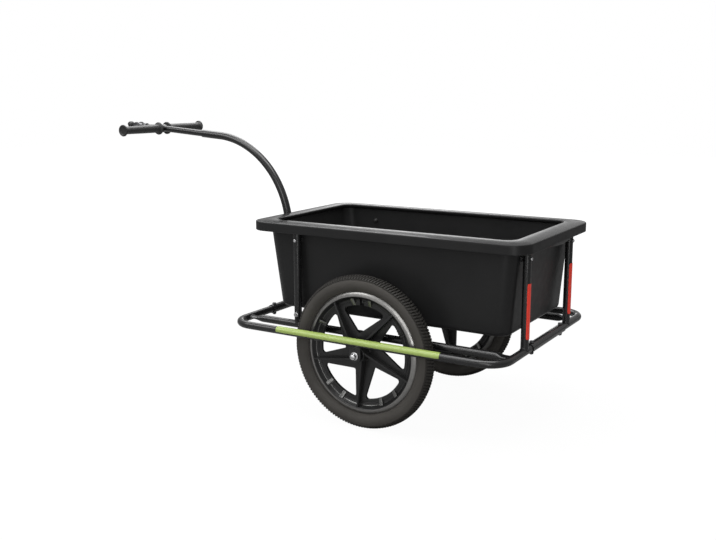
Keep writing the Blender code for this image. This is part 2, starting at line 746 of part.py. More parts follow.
def rim_section(inset, z, corner):
    """A section of the tub's rim, a distance inside its outer edge."""
    return rounded_rectangle(RIM_FRONT + inset, RIM_REAR - inset, RIM_HALF_WIDTH - inset, corner, z)


def mix_sections(one, other, share, z):
    return [(a[0] + (b[0] - a[0]) * share, a[1] + (b[1] - a[1]) * share, z) for a, b in zip(one, other)]


def flare_for_fingers(section):
    """Swell and lower the tail of a skirt's edge into a crescent for the fingers."""
    plain = len(section) - FINGER_GRIP_POINTS
    shaped = list(section[:plain])
    for i in range(FINGER_GRIP_POINTS):
        x, y, z = section[plain + i]
        swell = math.sin(math.pi * i / (FINGER_GRIP_POINTS - 1))
        shaped.append((x + FINGER_GRIP_FLARE * swell, y, z - FINGER_GRIP_DIP * swell))
    return shaped


def tub_sections():
    """Sections from the middle of the inner floor, over the rim, to the middle of the outer floor."""
    skirt_z = RIM_Z - SKIRT_DEPTH
    under_rim_z = RIM_Z - TUB_WALL
    inner_fillet = FLOOR_FILLET - TUB_WALL
    inner_corner = BODY_CORNER_RADIUS - TUB_WALL
    sections = []
    for degrees in (0.0, 45.0, 90.0):
        angle = math.radians(degrees)
        tuck = inner_fillet * (1 - math.sin(angle))
        z = TUB_FLOOR_Z + TUB_WALL + inner_fillet * (1 - math.cos(angle))
        sections.append(body_section(TUB_WALL + tuck, z, inner_corner - tuck))
    lip_foot = body_section(TUB_WALL, RIM_Z - LIP_DEPTH, inner_corner)
    lip_edge = rim_section(RIM_WIDTH, RIM_Z - RIM_EDGE_ROUND, RIM_INNER_CORNER_RADIUS)
    sections.append(lip_foot)
    sections.append(mix_sections(lip_foot, lip_edge, LIP_CURVE_SHARE, RIM_Z - LIP_DEPTH + LIP_CURVE_HEIGHT))
    sections.append(lip_edge)
    sections.append(rim_section(RIM_WIDTH - RIM_EDGE_ROUND, RIM_Z, RIM_INNER_CORNER_RADIUS + RIM_EDGE_ROUND))
    sections.append(rim_section(RIM_EDGE_ROUND, RIM_Z, RIM_CORNER_RADIUS - RIM_EDGE_ROUND))
    sections.append(rim_section(0.0, RIM_Z - RIM_EDGE_ROUND, RIM_CORNER_RADIUS))
    sections.append(flare_for_fingers(rim_section(0.0, skirt_z, RIM_CORNER_RADIUS)))
    sections.append(flare_for_fingers(rim_section(TUB_WALL, skirt_z, RIM_CORNER_RADIUS - TUB_WALL)))
    sections.append(rim_section(TUB_WALL, under_rim_z, RIM_CORNER_RADIUS - TUB_WALL))
    sections.append(body_section(0.0, under_rim_z, BODY_CORNER_RADIUS))
    for degrees in (90.0, 60.0, 30.0, 0.0):
        angle = math.radians(degrees)
        tuck = FLOOR_FILLET * (1 - math.sin(angle))
        z = TUB_FLOOR_Z + FLOOR_FILLET * (1 - math.cos(angle))
        sections.append(body_section(tuck, z, BODY_CORNER_RADIUS - tuck))
    return sections


def build_tub(root):
    """One moulding: floor, drafted walls, flat rim and hanging skirt, with a boss at each post bolt."""
    tub = part("tub", loft_mesh("tub", tub_sections()), "tub_plastic", root)
    through = 8 * TUB_WALL
    for side, sign in SIDES:
        outwards = ALONG_Y if sign > 0 else AGAINST_Y
        length = wall_inset(SIDE_DRAFT, POST_BOLT_Z) + TUB_WALL / 2
        name = side + "_front_boss"
        boss = cylinder_mesh(name, BOLT_BOSS_RADIUS, length, base=-length)
        spot = (-FRONT_POST_X, sign * BODY_HALF_WIDTH, POST_BOLT_Z)
        join(tub, tool(name, boss, root, spot, outwards))
        drill(tub, name + "_hole", spot, ALONG_Y, BOLT_HOLE_RADIUS, through, root)
        length = wall_inset(REAR_DRAFT, POST_BOLT_Z) + TUB_WALL / 2
        name = side + "_rear_boss"
        boss = cylinder_mesh(name, BOLT_BOSS_RADIUS, length, base=-length)
        spot = (BODY_REAR, sign * REAR_POST_Y, POST_BOLT_Z)
        join(tub, tool(name, boss, root, spot, ALONG_X))
        drill(tub, name + "_hole", spot, ALONG_X, BOLT_HOLE_RADIUS, through, root)
    return tub


# Wheels

def rim_profile():
    """The rim's section, down its tyre side and back up its hub side."""
    bed = BEAD_RADIUS
    top = bed + RIM_FLANGE_HEIGHT
    bed_half = RIM_BED_WIDTH / 2
    mouth_half = bed_half + RIM_FLANGE_LEAN
    edge_half = mouth_half + RIM_FLANGE_THICKNESS
    inner = bed - RIM_DEPTH
    root_half = WEB_THICKNESS / 2 + RIM_ROOT_STEP
    top_half = edge_half - RIM_FACE_LEAN
    down = [(top, top_half), (top, mouth_half), (bed, bed_half), (bed, -bed_half), (top, -mouth_half),
            (top, -top_half)]
    up = [(bed - RIM_EDGE_DEPTH, -edge_half), (inner, -root_half), (inner, root_half),
          (bed - RIM_EDGE_DEPTH, edge_half)]
    return down + up


def spoke_edge(spoke_deg, side):
    """One straight edge of a spoke, as its corner at the window's outer arc and its inward direction.

    A spoke's middle line is tilted about the point where it crosses its own radius. Side is 1 for the
    edge that turns with the spoke angle and -1 for the other.
    """
    middle = math.radians(spoke_deg - SPOKE_TILT_DEG)
    lean = middle - side * math.radians(SPOKE_TAPER_DEG)
    along = Vector((math.cos(lean), math.sin(lean), 0.0))
    across = Vector((-math.sin(middle), math.cos(middle), 0.0)) * side
    radial = Vector((math.cos(math.radians(spoke_deg)), math.sin(math.radians(spoke_deg)), 0.0))
    spot = radial * SPOKE_CROSSING_RADIUS + across * SPOKE_HALF_WIDTH
    drift = spot.dot(along)
    run = math.sqrt(drift ** 2 + window_radius() ** 2 - spot.length_squared) - drift
    return spot + along * run, along


def window_outline(middle_deg):
    """One opening between two spokes: two straight sides, an outer arc and three rounded corners."""
    half_pitch = 180.0 / SPOKE_COUNT
    first, first_way = spoke_edge(middle_deg - half_pitch, 1)
    last, last_way = spoke_edge(middle_deg + half_pitch, -1)
    gap = last - first
    turn = first_way.cross(last_way).z
    apex = first + first_way * (gap.cross(last_way).z / turn)
    start = math.degrees(math.atan2(first.y, first.x))
    end = math.degrees(math.atan2(last.y, last.x))
    rim_side = [Vector((x, y, 0.0)) for x, y in arc(window_radius(), start, start + (end - start) % 360.0, 6)]
    points = fillet_corner(last, apex, first, WINDOW_INNER_FILLET, 2)
    points += fillet_corner(apex, first, rim_side[1], WINDOW_OUTER_FILLET, 3)
    points += rim_side[1:-1]
    points += fillet_corner(rim_side[-2], last, apex, WINDOW_OUTER_FILLET, 3)
    return [(p.x, p.y) for p in points]


def window_radius():
    return BEAD_RADIUS - RIM_DEPTH - WEB_RING_WIDTH


def spoke_angles():
    """One spoke points straight down, which is -Y in the wheel's own frame."""
    return [-90.0 + 360.0 * i / SPOKE_COUNT for i in range(SPOKE_COUNT)]


def build_casting_mesh():
    """The moulded wheel: rim, windowed web, hub and one fin along each spoke."""
    base = bpy.data.objects.new("casting_rim", bpy.data.meshes.new("casting_rim"))
    TOOLS.objects.link(base)
    profile = rim_profile()
    count = len(profile)
    base.data.from_pydata([(r, 0.0, z) for r, z in profile], [(i, (i + 1) % count) for i in range(count)], [])
    add_screw(base, WHEEL_STEPS)

    half_pitch = 180.0 / SPOKE_COUNT
    windows = [window_outline(angle + half_pitch) for angle in spoke_angles()]
    web_edge = circle(BEAD_RADIUS - RIM_DEPTH + WEB_OVERLAP, WHEEL_STEPS)
    join(base, tool("casting_web", plate_mesh("casting_web", web_edge, windows, WEB_THICKNESS), None))
    hub = cylinder_mesh("casting_hub", HUB_RADIUS, HUB_LENGTH, base=-HUB_LENGTH / 2)
    join(base, tool("casting_hub", hub, None))

    hub_end = HUB_LENGTH / 2 - FIN_ROOT_OVERLAP
    rim_end = RIM_BED_WIDTH / 2 + RIM_FLANGE_LEAN + RIM_FLANGE_THICKNESS - FIN_EDGE_DROP
    tilt = math.radians(SPOKE_TILT_DEG)
    offset = SPOKE_CROSSING_RADIUS * math.sin(tilt)
    inner = math.sqrt((HUB_RADIUS - FIN_ROOT_OVERLAP) ** 2 - offset ** 2)
    outer = math.sqrt((BEAD_RADIUS - RIM_EDGE_DEPTH + FIN_TIP_OVERLAP) ** 2 - offset ** 2)
    fin = [(inner, -hub_end), (outer, -rim_end), (outer, rim_end), (inner, hub_end)]
    for i, angle in enumerate(spoke_angles()):
        name = "casting_fin_%d" % i
        mesh = plate_mesh(name, fin, [], FIN_THICKNESS)
        middle = math.radians(angle) - tilt
        spot = (-offset * math.sin(middle), offset * math.cos(middle), 0.0)
        join(base, tool(name, mesh, None, spot, (math.pi / 2, 0.0, middle)))

    drill(base, "casting_bore", (0.0, 0.0, 0.0), ALONG_Z, HUB_BORE_RADIUS, 2 * HUB_LENGTH, None, TUBE_SIDES)
    seat = BEARING_WIDTH + 2 * GAP
    for sign in (-1, 1):
        name = "casting_seat_%s" % ("inboard" if sign < 0 else "outboard")
        spot = (0.0, 0.0, sign * HUB_LENGTH / 2)
        drill(base, name, spot, ALONG_Z, BEARING_RADIUS + GAP, 2 * seat, None, TUBE_SIDES)
    half = VALVE_POCKET_WIDTH / 2
    start = window_radius() - VALVE_POCKET_OVERLAP
    reach = BEAD_RADIUS - RIM_DEPTH
    pocket = box_mesh("casting_pocket", (-half, start, -HUB_LENGTH / 2), (half, reach, HUB_LENGTH / 2))
    cut(base, tool("casting_pocket", pocket, None))
    start = reach - RIM_DEPTH
    valve_hole = cylinder_mesh("casting_valve_hole", VALVE_RADIUS + GAP, 3 * RIM_DEPTH, BORE_SIDES, start)
    cut(base, tool("casting_valve_hole", valve_hole, None, turn=ALONG_Y))
    mesh = evaluated_mesh(base, "wheel_casting")
    base.hide_render = True
    base.display_type = "WIRE"
    return mesh


def tyre_profile():
    """The tyre's section, down its road side and back up its air side."""
    bead = BEAD_RADIUS + GAP
    flange = BEAD_RADIUS + RIM_FLANGE_HEIGHT + GAP
    bead_half = RIM_BED_WIDTH / 2 - GAP
    half = TYRE_WIDTH / 2
    widest = BEAD_RADIUS + TYRE_WIDEST_HEIGHT
    outer = [(AXLE_Z, TREAD_FLAT / 2), (BEAD_RADIUS + TYRE_SHOULDER_HEIGHT, TYRE_SHOULDER_WIDTH / 2),
             (widest, half), (flange, bead_half + RIM_FLANGE_LEAN), (bead, bead_half)]
    inner = [(bead, bead_half - TYRE_WALL), (widest, half - TYRE_WALL),
             (AXLE_Z - TREAD_THICKNESS, TREAD_FLAT / 2)]
    down = list(reversed(outer)) + [(r, -y) for r, y in outer]
    up = [(r, -y) for r, y in inner] + list(reversed(inner))
    return down + up


def build_inner_tube_mesh():
    """A hollow rubber ring whose valve points to the axle."""
    centre = BEAD_RADIUS + TYRE_WIDEST_HEIGHT
    base = bpy.data.objects.new("air_ring", bpy.data.meshes.new("air_ring"))
    TOOLS.objects.link(base)
    section = [(centre + x, y) for x, y in reversed(circle(TUBE_SECTION_RADIUS, AIR_RING_SIDES))]
    edges = [(i, (i + 1) % AIR_RING_SIDES) for i in range(AIR_RING_SIDES)]
    base.data.from_pydata([(r, 0.0, z) for r, z in section], edges, [])
    add_screw(base, AIR_RING_STEPS)
    add_wall(base, TUBE_RUBBER)
    inner_side = centre - TUBE_SECTION_RADIUS
    foot = inner_side + VALVE_FOOT_OVERLAP - VALVE_LENGTH
    stem = cylinder_mesh("air_ring_stem", VALVE_RADIUS, VALVE_LENGTH, BORE_SIDES, foot)
    join(base, tool("air_ring_stem", stem, None, turn=ALONG_Y))
    over = VALVE_RADIUS
    bore = cylinder_mesh("air_ring_bore", VALVE_BORE_RADIUS, VALVE_LENGTH + 2 * over, BORE_SIDES, foot - over)
    cut(base, tool("air_ring_bore", bore, None, turn=ALONG_Y))
    mesh = evaluated_mesh(base, "inner_tube")
    base.hide_render = True
    base.display_type = "WIRE"
    return mesh


def ring_profile(outer, inner, low, high):
    return [(outer, high), (outer, low), (inner, low), (inner, high)]


def build_wheel(side, hub, casting, air_ring):
    """One wheel on its hub empty, whose Z is the axle and points outboard."""
    part(side + "_wheel_casting", casting.copy(), "black_plastic", hub)
    turned(side + "_tyre", tyre_profile(), "tyre_rubber", hub, WHEEL_STEPS, closed=True)
    part(side + "_inner_tube", air_ring.copy(), "tube_rubber", hub)
    bore = AXLE_RADIUS + RUNNING_CLEARANCE
    outer_face = HUB_LENGTH / 2 - GAP
    for end, sign in (("outboard", 1), ("inboard", -1)):
        low, high = sorted((sign * (outer_face - BEARING_WIDTH), sign * outer_face))
        turned(side + "_" + end + "_bearing", ring_profile(BEARING_RADIUS, bore, low, high), "zinc", hub,
               TUBE_SIDES, closed=True)


def build_axle(side, hub):
    """The axle bolt, its flange nut and two spacers, fixed to the dropouts."""
    plate_inner = RAIL_SPACING / 2 - DROPOUT_THICKNESS / 2
    plate_outer = RAIL_SPACING / 2 + DROPOUT_THICKNESS / 2
    seat = -plate_outer - GAP
    tip = plate_outer + GAP + AXLE_NUT_HEIGHT + AXLE_THREAD_STAND
    rings = [hex_section(AXLE_HEAD_RADIUS, seat - AXLE_HEAD_HEIGHT), hex_section(AXLE_HEAD_RADIUS, seat),
             round_section(AXLE_RADIUS, seat), round_section(AXLE_RADIUS, tip)]
    part(side + "_axle_bolt", loft_mesh(side + "_axle_bolt", rings), "zinc", hub)

    low = plate_outer + GAP
    top = low + AXLE_NUT_HEIGHT
    bore = AXLE_RADIUS + GAP
    rings = [round_section(bore, low), round_section(AXLE_NUT_FLANGE_RADIUS, low),
             round_section(AXLE_NUT_FLANGE_RADIUS, low + AXLE_NUT_FLANGE_HEIGHT),
             hex_section(AXLE_NUT_HEX_RADIUS, low + AXLE_NUT_HEX_START),
             hex_section(AXLE_NUT_HEX_RADIUS, top), round_section(bore, top)]
    nut = weld(loft_mesh(side + "_axle_nut", rings + [rings[0]], capped=False))
    part(side + "_axle_nut", nut, "zinc", hub)

    for end, sign in (("outboard", 1), ("inboard", -1)):
        low, high = sorted((sign * HUB_LENGTH / 2, sign * (plate_inner - GAP)))
        turned(side + "_" + end + "_spacer", ring_profile(SPACER_RADIUS, bore, low, high), "black_zinc", hub,
               TUBE_SIDES, closed=True)


def build_wheels(root):
    casting = build_casting_mesh()
    air_ring = build_inner_tube_mesh()
    for side, sign in SIDES:
        turn = AGAINST_Y if sign < 0 else (math.pi / 2, 0.0, math.pi)
        hub = empty(side + "_wheel_axis", (0.0, sign * WHEEL_Y, AXLE_Z), turn, root)
        build_wheel(side, hub, casting, air_ring)
        build_axle(side, hub)


# Drawbar and T-handle

def drawbar_corner():
    """Where the leaning foot's line meets the rising top's line, in X and Z."""
    lean = math.radians(DRAWBAR_LEAN_DEG)
    rise = math.radians(DRAWBAR_RISE_DEG)
    span_x = -FRAME_FRONT - HANDLE_X
    span_z = HITCH_Z - RAIL_Z
    turn = math.cos(lean + rise)
    up = (span_z * math.cos(rise) - span_x * math.sin(rise)) / turn
    return -FRAME_FRONT - up * math.sin(lean), RAIL_Z + up * math.cos(lean)


def build_drawbar(root):
    """A tube that leans from its socket, sweeps forward in one bend and ends at the handle's stem."""
    lean = math.radians(DRAWBAR_LEAN_DEG)
    rise = math.radians(DRAWBAR_RISE_DEG)
    corner_x, corner_z = drawbar_corner()
    foot = SLEEVE_RADIUS + SOCKET_WALL
    start = (-FRAME_FRONT - foot * math.sin(lean), 0.0, RAIL_Z + foot * math.cos(lean))
    end = (HANDLE_X + STEM_VISIBLE * math.cos(rise), 0.0, HITCH_Z - STEM_VISIBLE * math.sin(rise))
    path = rounded_path([start, (corner_x, 0.0, corner_z), end], DRAWBAR_BEND_RADIUS, DRAWBAR_BEND_STEPS)
    bar = tube("drawbar", path, DRAWBAR_RADIUS, DRAWBAR_WALL, "black_paint", root)

    top = (-FRAME_FRONT - SOCKET_TOP * math.sin(lean), 0.0, RAIL_Z + SOCKET_TOP * math.cos(lean))
    socket_path = [(-FRAME_FRONT, 0.0, RAIL_Z), top]
    socket = tube("drawbar_socket", socket_path, SOCKET_RADIUS, SOCKET_WALL, "black_paint", root)
    saddle = cylinder_mesh("socket_saddle", SLEEVE_RADIUS + GAP, 6 * SLEEVE_RADIUS, base=-3 * SLEEVE_RADIUS)
    cut(socket, tool("socket_saddle", saddle, root, (-FRAME_FRONT, 0.0, RAIL_Z), ALONG_Y))

    reach = SOCKET_BOLT_HEIGHT
    spot = (-FRAME_FRONT - reach * math.sin(lean), 0.0, RAIL_Z + reach * math.cos(lean))
    for piece in (bar, socket):
        drill(piece, piece.name + "_bolt_hole", spot, ALONG_Y, BOLT_HOLE_RADIUS, 4 * SOCKET_RADIUS, root)
    bolt("drawbar_bolt", 2 * SOCKET_RADIUS, "zinc", root, (spot[0], -SOCKET_RADIUS, spot[2]), AGAINST_Y)


def build_tee(root):
    """The handle's cross tube, its hub, the stem inside the drawbar and the swivel's hollow stub."""
    centre = (HANDLE_X, 0.0, HITCH_Z)
    rise = math.radians(DRAWBAR_RISE_DEG)
    length = 2 * HANDLE_HALF_LENGTH
    cross = cylinder_mesh("handle_tee", HANDLE_TUBE_RADIUS, length, base=-length / 2)
    tee = part("handle_tee", cross, "black_paint", root, centre, ALONG_Y)
    hub_length = 2 * (GRIP_INNER_END - GAP)
    hub = cylinder_mesh("tee_hub", TEE_HUB_RADIUS, hub_length, base=-hub_length / 2)
    join(tee, tool("tee_hub", hub, root, centre, ALONG_Y))
    stem_length = STEM_VISIBLE + STEM_INSERT
    stem = cylinder_mesh("tee_stem", STEM_RADIUS, stem_length)
    stem_turn = (0.0, math.pi / 2 + rise, 0.0)
    join(tee, tool("tee_stem", stem, root, centre, stem_turn))
    stub = cylinder_mesh("tee_stub", STUB_RADIUS, STUB_LENGTH)
    join(tee, tool("tee_stub", stub, root, centre, AGAINST_X))
    bore = HANDLE_TUBE_RADIUS - STEM_WALL
    drill(tee, "tee_cross_bore", centre, ALONG_Y, bore, 2 * length, root, TUBE_SIDES)
    stem_bore = cylinder_mesh("tee_stem_bore", STEM_RADIUS - STEM_WALL, stem_length + BORE_OVERRUN)
    cut(tee, tool("tee_stem_bore", stem_bore, root, centre, stem_turn))
    mouth = STUB_LENGTH - STUB_BORE_DEPTH
    stub_bore = cylinder_mesh("tee_stub_bore", STUB_BORE_RADIUS, STUB_BORE_DEPTH + BORE_OVERRUN, base=mouth)
    cut(tee, tool("tee_stub_bore", stub_bore, root, centre, AGAINST_X))


def grip_profile():
    """A grip's section, down its hand side from the closed end and back up its bore."""
    bore = HANDLE_TUBE_RADIUS + GAP
    inner, outer = GRIP_INNER_END, GRIP_OUTER_END
    width = GRIP_FLANGE_WIDTH
    blend = GRIP_FLANGE_BLEND
    down = [(0.0, outer - GRIP_CAP_DIP), (GRIP_CAP_RADIUS, outer - GRIP_CAP_DIP),
            (GRIP_CAP_RADIUS + GRIP_CAP_SLOPE, outer), (GRIP_OUTER_FLANGE_RADIUS, outer),
            (GRIP_OUTER_FLANGE_RADIUS, outer - width), (GRIP_TIP_RADIUS, outer - width - blend),
            (GRIP_ROOT_RADIUS, inner + width + blend), (GRIP_INNER_FLANGE_RADIUS, inner + width),
            (GRIP_INNER_FLANGE_RADIUS, inner)]
    up = [(bore, inner), (bore, HANDLE_HALF_LENGTH + GAP), (0.0, HANDLE_HALF_LENGTH + GAP)]
    return down + up


def build_grips(root):
    for side, sign in SIDES:
        turn = ALONG_Y if sign > 0 else AGAINST_Y
        turned(side + "_grip", grip_profile(), "black_plastic", root, TUBE_SIDES,
               spot=(HANDLE_X, 0.0, HITCH_Z), turn=turn)


# Hitch

def build_swivel(root, roll):
    """The collar that holds the swivel's head in the stub, and the shaft with its eye."""
    length = SWIVEL_NUT_LENGTH
    edge = SWIVEL_NUT_CHAMFER
    shaft_bore = SWIVEL_SHAFT_RADIUS + PIN_CLEARANCE
    stub_bore = STUB_RADIUS + GAP
    shoulder = SWIVEL_NUT_OVERLAP + GAP
    profile = [(SWIVEL_NUT_RADIUS - edge, length), (SWIVEL_NUT_RADIUS, length - edge),
               (SWIVEL_NUT_RADIUS, edge), (SWIVEL_NUT_RADIUS - edge, 0.0), (stub_bore, 0.0),
               (stub_bore, shoulder), (shaft_bore, shoulder), (shaft_bore, length)]
    turned("swivel_nut", profile, "black_zinc", root, TUBE_SIDES, closed=True,
           spot=(NUT_REAR_X, 0.0, HITCH_Z), turn=AGAINST_X)

    head = PITCH_X - STUB_END_X
    sections = [(SWIVEL_HEAD_RADIUS, head - SWIVEL_HEAD_HEIGHT), (SWIVEL_HEAD_RADIUS, head),
                (SWIVEL_SHAFT_RADIUS, head), (SWIVEL_SHAFT_RADIUS, -EYE_RADIUS / 2)]
    rings = [round_section(radius, height) for radius, height in sections]
    shaft = part("swivel_shaft", loft_mesh("swivel_shaft", rings), "black_zinc", roll, turn=AGAINST_X)
    eye = cylinder_mesh("swivel_eye", EYE_RADIUS, EYE_THICKNESS, EYE_SIDES, -EYE_THICKNESS / 2)
    join(shaft, tool("swivel_eye", eye, roll, turn=ALONG_Y))
    bore = PITCH_PIN_RADIUS + GAP
    drill(shaft, "swivel_eye_hole", (0.0, 0.0, 0.0), ALONG_Y, bore, 2 * EYE_THICKNESS, roll, TUBE_SIDES)

    seat = FORK_HALF_WIDTH + GAP
    end = seat + PITCH_PIN_HEAD_HEIGHT
    sections = [(PITCH_PIN_HEAD_TOP_RADIUS, -end), (PITCH_PIN_HEAD_RADIUS, -seat), (PITCH_PIN_RADIUS, -seat),
                (PITCH_PIN_RADIUS, seat), (PITCH_PIN_HEAD_RADIUS, seat), (PITCH_PIN_HEAD_TOP_RADIUS, end)]
    rings = [round_section(radius, height) for radius, height in sections]
    part("pitch_pin", loft_mesh("pitch_pin", rings), "zinc", roll, turn=ALONG_Y)


def build_fork(pitch):
    """Two round cheeks on the pitch pin and a C-shaped jaw in front of them, open to the bicycle."""
    top = JAW_TOP_Z - HITCH_Z
    bottom = JAW_BOTTOM_Z - HITCH_Z
    rear = JAW_REAR_X - PITCH_X
    tip = JAW_TIP_X - PITCH_X
    wall = JAW_WALL
    jaw = [(rear, top), (rear, bottom), (tip, bottom), (tip, bottom + wall), (rear - wall, bottom + wall),
           (rear - wall, top - wall), (tip, top - wall), (tip, top)]
    fork = part("hitch_fork", plate_mesh("hitch_fork", jaw, [], 2 * FORK_HALF_WIDTH), "zinc", pitch,
                turn=UPRIGHT_PLATE)
    cheek = arc(CHEEK_RADIUS, CHEEK_ARC_DEG, -CHEEK_ARC_DEG, TUBE_SIDES)
    cheek += [(rear - wall / 2, bottom), (rear - wall / 2, top)]
    for side, sign in SIDES:
        name = side + "_cheek"
        mesh = plate_mesh(name, cheek, [], CHEEK_THICKNESS)
        spot = (0.0, sign * (FORK_HALF_WIDTH - CHEEK_THICKNESS / 2), 0.0)
        join(fork, tool(name, mesh, pitch, spot, UPRIGHT_PLATE))
    through = 4 * FORK_HALF_WIDTH
    bore = PITCH_PIN_RADIUS + PIN_CLEARANCE
    drill(fork, "fork_pitch_hole", (0.0, 0.0, 0.0), ALONG_Y, bore, through, pitch, TUBE_SIDES)
    spot = (HITCH_PIN_X - PITCH_X, 0.0, (top + bottom) / 2)
    bore = HITCH_PIN_RADIUS + PIN_CLEARANCE
    drill(fork, "fork_pin_hole", spot, ALONG_Z, bore, through, pitch, TUBE_SIDES)


def build_hitch_pin(slide):
    """The pin that locks the bicycle's tongue in the jaw, and the knob that lifts it."""
    seat = GAP
    flange_top = seat + HITCH_PIN_FLANGE_HEIGHT
    foot = JAW_BOTTOM_Z - JAW_TOP_Z + HITCH_PIN_RECESS
    sections = [(HITCH_PIN_TIP_RADIUS, foot), (HITCH_PIN_RADIUS, foot + HITCH_PIN_TIP_HEIGHT),
                (HITCH_PIN_RADIUS, seat), (HITCH_PIN_FLANGE_RADIUS, seat),
                (HITCH_PIN_FLANGE_RADIUS, flange_top), (KNOB_STUD_RADIUS, flange_top),
                (KNOB_STUD_RADIUS, flange_top + KNOB_STUD_LENGTH)]
    rings = [round_section(radius, height) for radius, height in sections]
    part("hitch_pin", loft_mesh("hitch_pin", rings), "zinc", slide)

    low = flange_top + GAP
    high = low + KNOB_HEIGHT
    bore = KNOB_STUD_RADIUS + BOLT_HOLE_CLEARANCE
    bore_top = flange_top + KNOB_STUD_LENGTH + GAP
    profile = [(0.0, high), (KNOB_TOP_RADIUS, high - KNOB_TOP_DROP),
               (KNOB_SHOULDER_RADIUS, high - KNOB_SHOULDER_DROP), (KNOB_RADIUS, high - KNOB_WIDEST_DROP),
               (KNOB_FOOT_RADIUS, low), (bore, low), (bore, bore_top), (0.0, bore_top)]
    turned("hitch_pin_knob", profile, "black_plastic", slide, TUBE_SIDES)


def build_hitch(root):
    roll = empty("hitch_roll_axis", (PITCH_X, 0.0, HITCH_Z), parent=root)
    build_swivel(root, roll)
    pitch = empty("hitch_pitch_axis", (0.0, 0.0, 0.0), parent=roll)
    build_fork(pitch)
    slide = empty("hitch_pin_axis", (HITCH_PIN_X - PITCH_X, 0.0, JAW_TOP_Z - HITCH_Z), parent=pitch)
    build_hitch_pin(slide)


# Reflective strips

def strip_outline(arc_deg):
    """A thin curved band round part of a tube."""
    low = TUBE_RADIUS + GAP
    start, end = arc_deg
    outer = arc(low + STRIP_THICKNESS, start, end, STRIP_STEPS)
    return outer + list(reversed(arc(low, start, end, STRIP_STEPS)))


def build_strips(root):
    for side, sign in SIDES:
        outline = [(sign * x, y) for x, y in strip_outline(RAIL_STRIP_ARC_DEG)]
        name = side + "_lime_strip"
        mesh = plate_mesh(name, outline, [], RAIL_STRIP_LENGTH)
        turn = (math.pi / 2, 0.0, math.pi / 2)
        part(name, mesh, "lime_film", root, (0.0, sign * OUTER_RAIL_Y, RAIL_Z), turn)
        name = side + "_red_strip"
        mesh = plate_mesh(name, strip_outline(POST_STRIP_ARC_DEG), [], POST_STRIP_LENGTH)
        middle = RAIL_Z + POST_STRIP_FOOT + POST_STRIP_LENGTH / 2
        part(name, mesh, "red_film", root, (FRAME_REAR, sign * REAR_POST_Y, middle))


def build_trailer():
    root = empty("trailer_origin", (-(TRAILER_FRONT + TRAILER_REAR) / 2, 0.0, 0.0))
    build_frame(root)
    build_frame_bolts(root)
    build_tub(root)
    build_wheels(root)
    build_drawbar(root)
    build_tee(root)
    build_grips(root)
    build_hitch(root)
    build_strips(root)
    bpy.context.view_layer.update()


build_trailer()
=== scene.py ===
"""The looks of a two-wheeled bicycle trailer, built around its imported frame.

Every place comes from the frame's own nodes. Lengths are in metres, and in mm() in millimetres.
+X points to the tail and +Z up, and the left wheel is the near one, at -Y. Each new piece stands for a CAD
node, or is a detail that rides with one.
"""

import json
from math import atan2, cos, degrees, hypot, pi, radians, sin, sqrt, tan

import bmesh
import bpy
from mathutils import Matrix, Vector


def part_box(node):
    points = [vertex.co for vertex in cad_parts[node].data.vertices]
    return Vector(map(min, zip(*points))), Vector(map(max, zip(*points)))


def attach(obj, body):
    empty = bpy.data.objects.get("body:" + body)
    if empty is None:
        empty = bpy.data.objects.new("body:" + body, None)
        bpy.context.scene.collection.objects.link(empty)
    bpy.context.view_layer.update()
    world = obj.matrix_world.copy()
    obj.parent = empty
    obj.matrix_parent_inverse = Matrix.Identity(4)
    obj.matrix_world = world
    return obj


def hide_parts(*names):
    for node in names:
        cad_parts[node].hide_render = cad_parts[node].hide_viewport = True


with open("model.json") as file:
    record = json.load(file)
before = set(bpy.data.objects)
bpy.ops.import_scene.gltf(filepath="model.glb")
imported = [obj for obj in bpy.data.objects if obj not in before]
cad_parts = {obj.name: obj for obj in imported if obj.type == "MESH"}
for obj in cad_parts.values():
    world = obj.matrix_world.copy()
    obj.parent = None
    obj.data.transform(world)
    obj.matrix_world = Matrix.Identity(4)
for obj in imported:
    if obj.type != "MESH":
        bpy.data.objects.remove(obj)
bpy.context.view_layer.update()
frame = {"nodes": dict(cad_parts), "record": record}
NODES = frame["nodes"]

# The photograph's camera
FRAME_WIDTH_PX = 716
SENSOR_WIDTH_MM = 36.0
FOCAL_LENGTH_PX = 928.7
VIEW_AZIMUTH_DEG = 31.68
VIEW_ELEVATION_DEG = 11.464
VIEW_ROLL_DEG = -0.194
CAMERA_FROM_AXLE = (1.1777, -2.1828, 0.8705)

# Fineness
TUBE_SIDES = 32
WELD_POINTS = 36
WELD_SIDES = 8
RAIL_BEND_STEPS = 14
RAIL_TAPER_STEPS = 8
DRAWBAR_BEND_STEPS = 40
WHEEL_STEPS = 144
HUB_STEPS = 64
KNOB_STEPS = 56
SMALL_STEPS = 40
BOLT_STEPS = 32
HOLE_STEPS = 32
HEX_POINTS = 24
THREAD_STEPS = 24
EDGE_STEPS = 3
LIME_STRIP_STEPS = 60
RED_STRIP_STEPS = 24
CORNER_STEPS = 12
FINGER_GRIP_POINTS = 19
SMOOTH_BELOW_DEG = 35.0
SMOOTH_TREAD_BELOW_DEG = 30.0
JOIN_WITHIN = 0.0000005
JOIN_BAKED_WITHIN = 0.000001

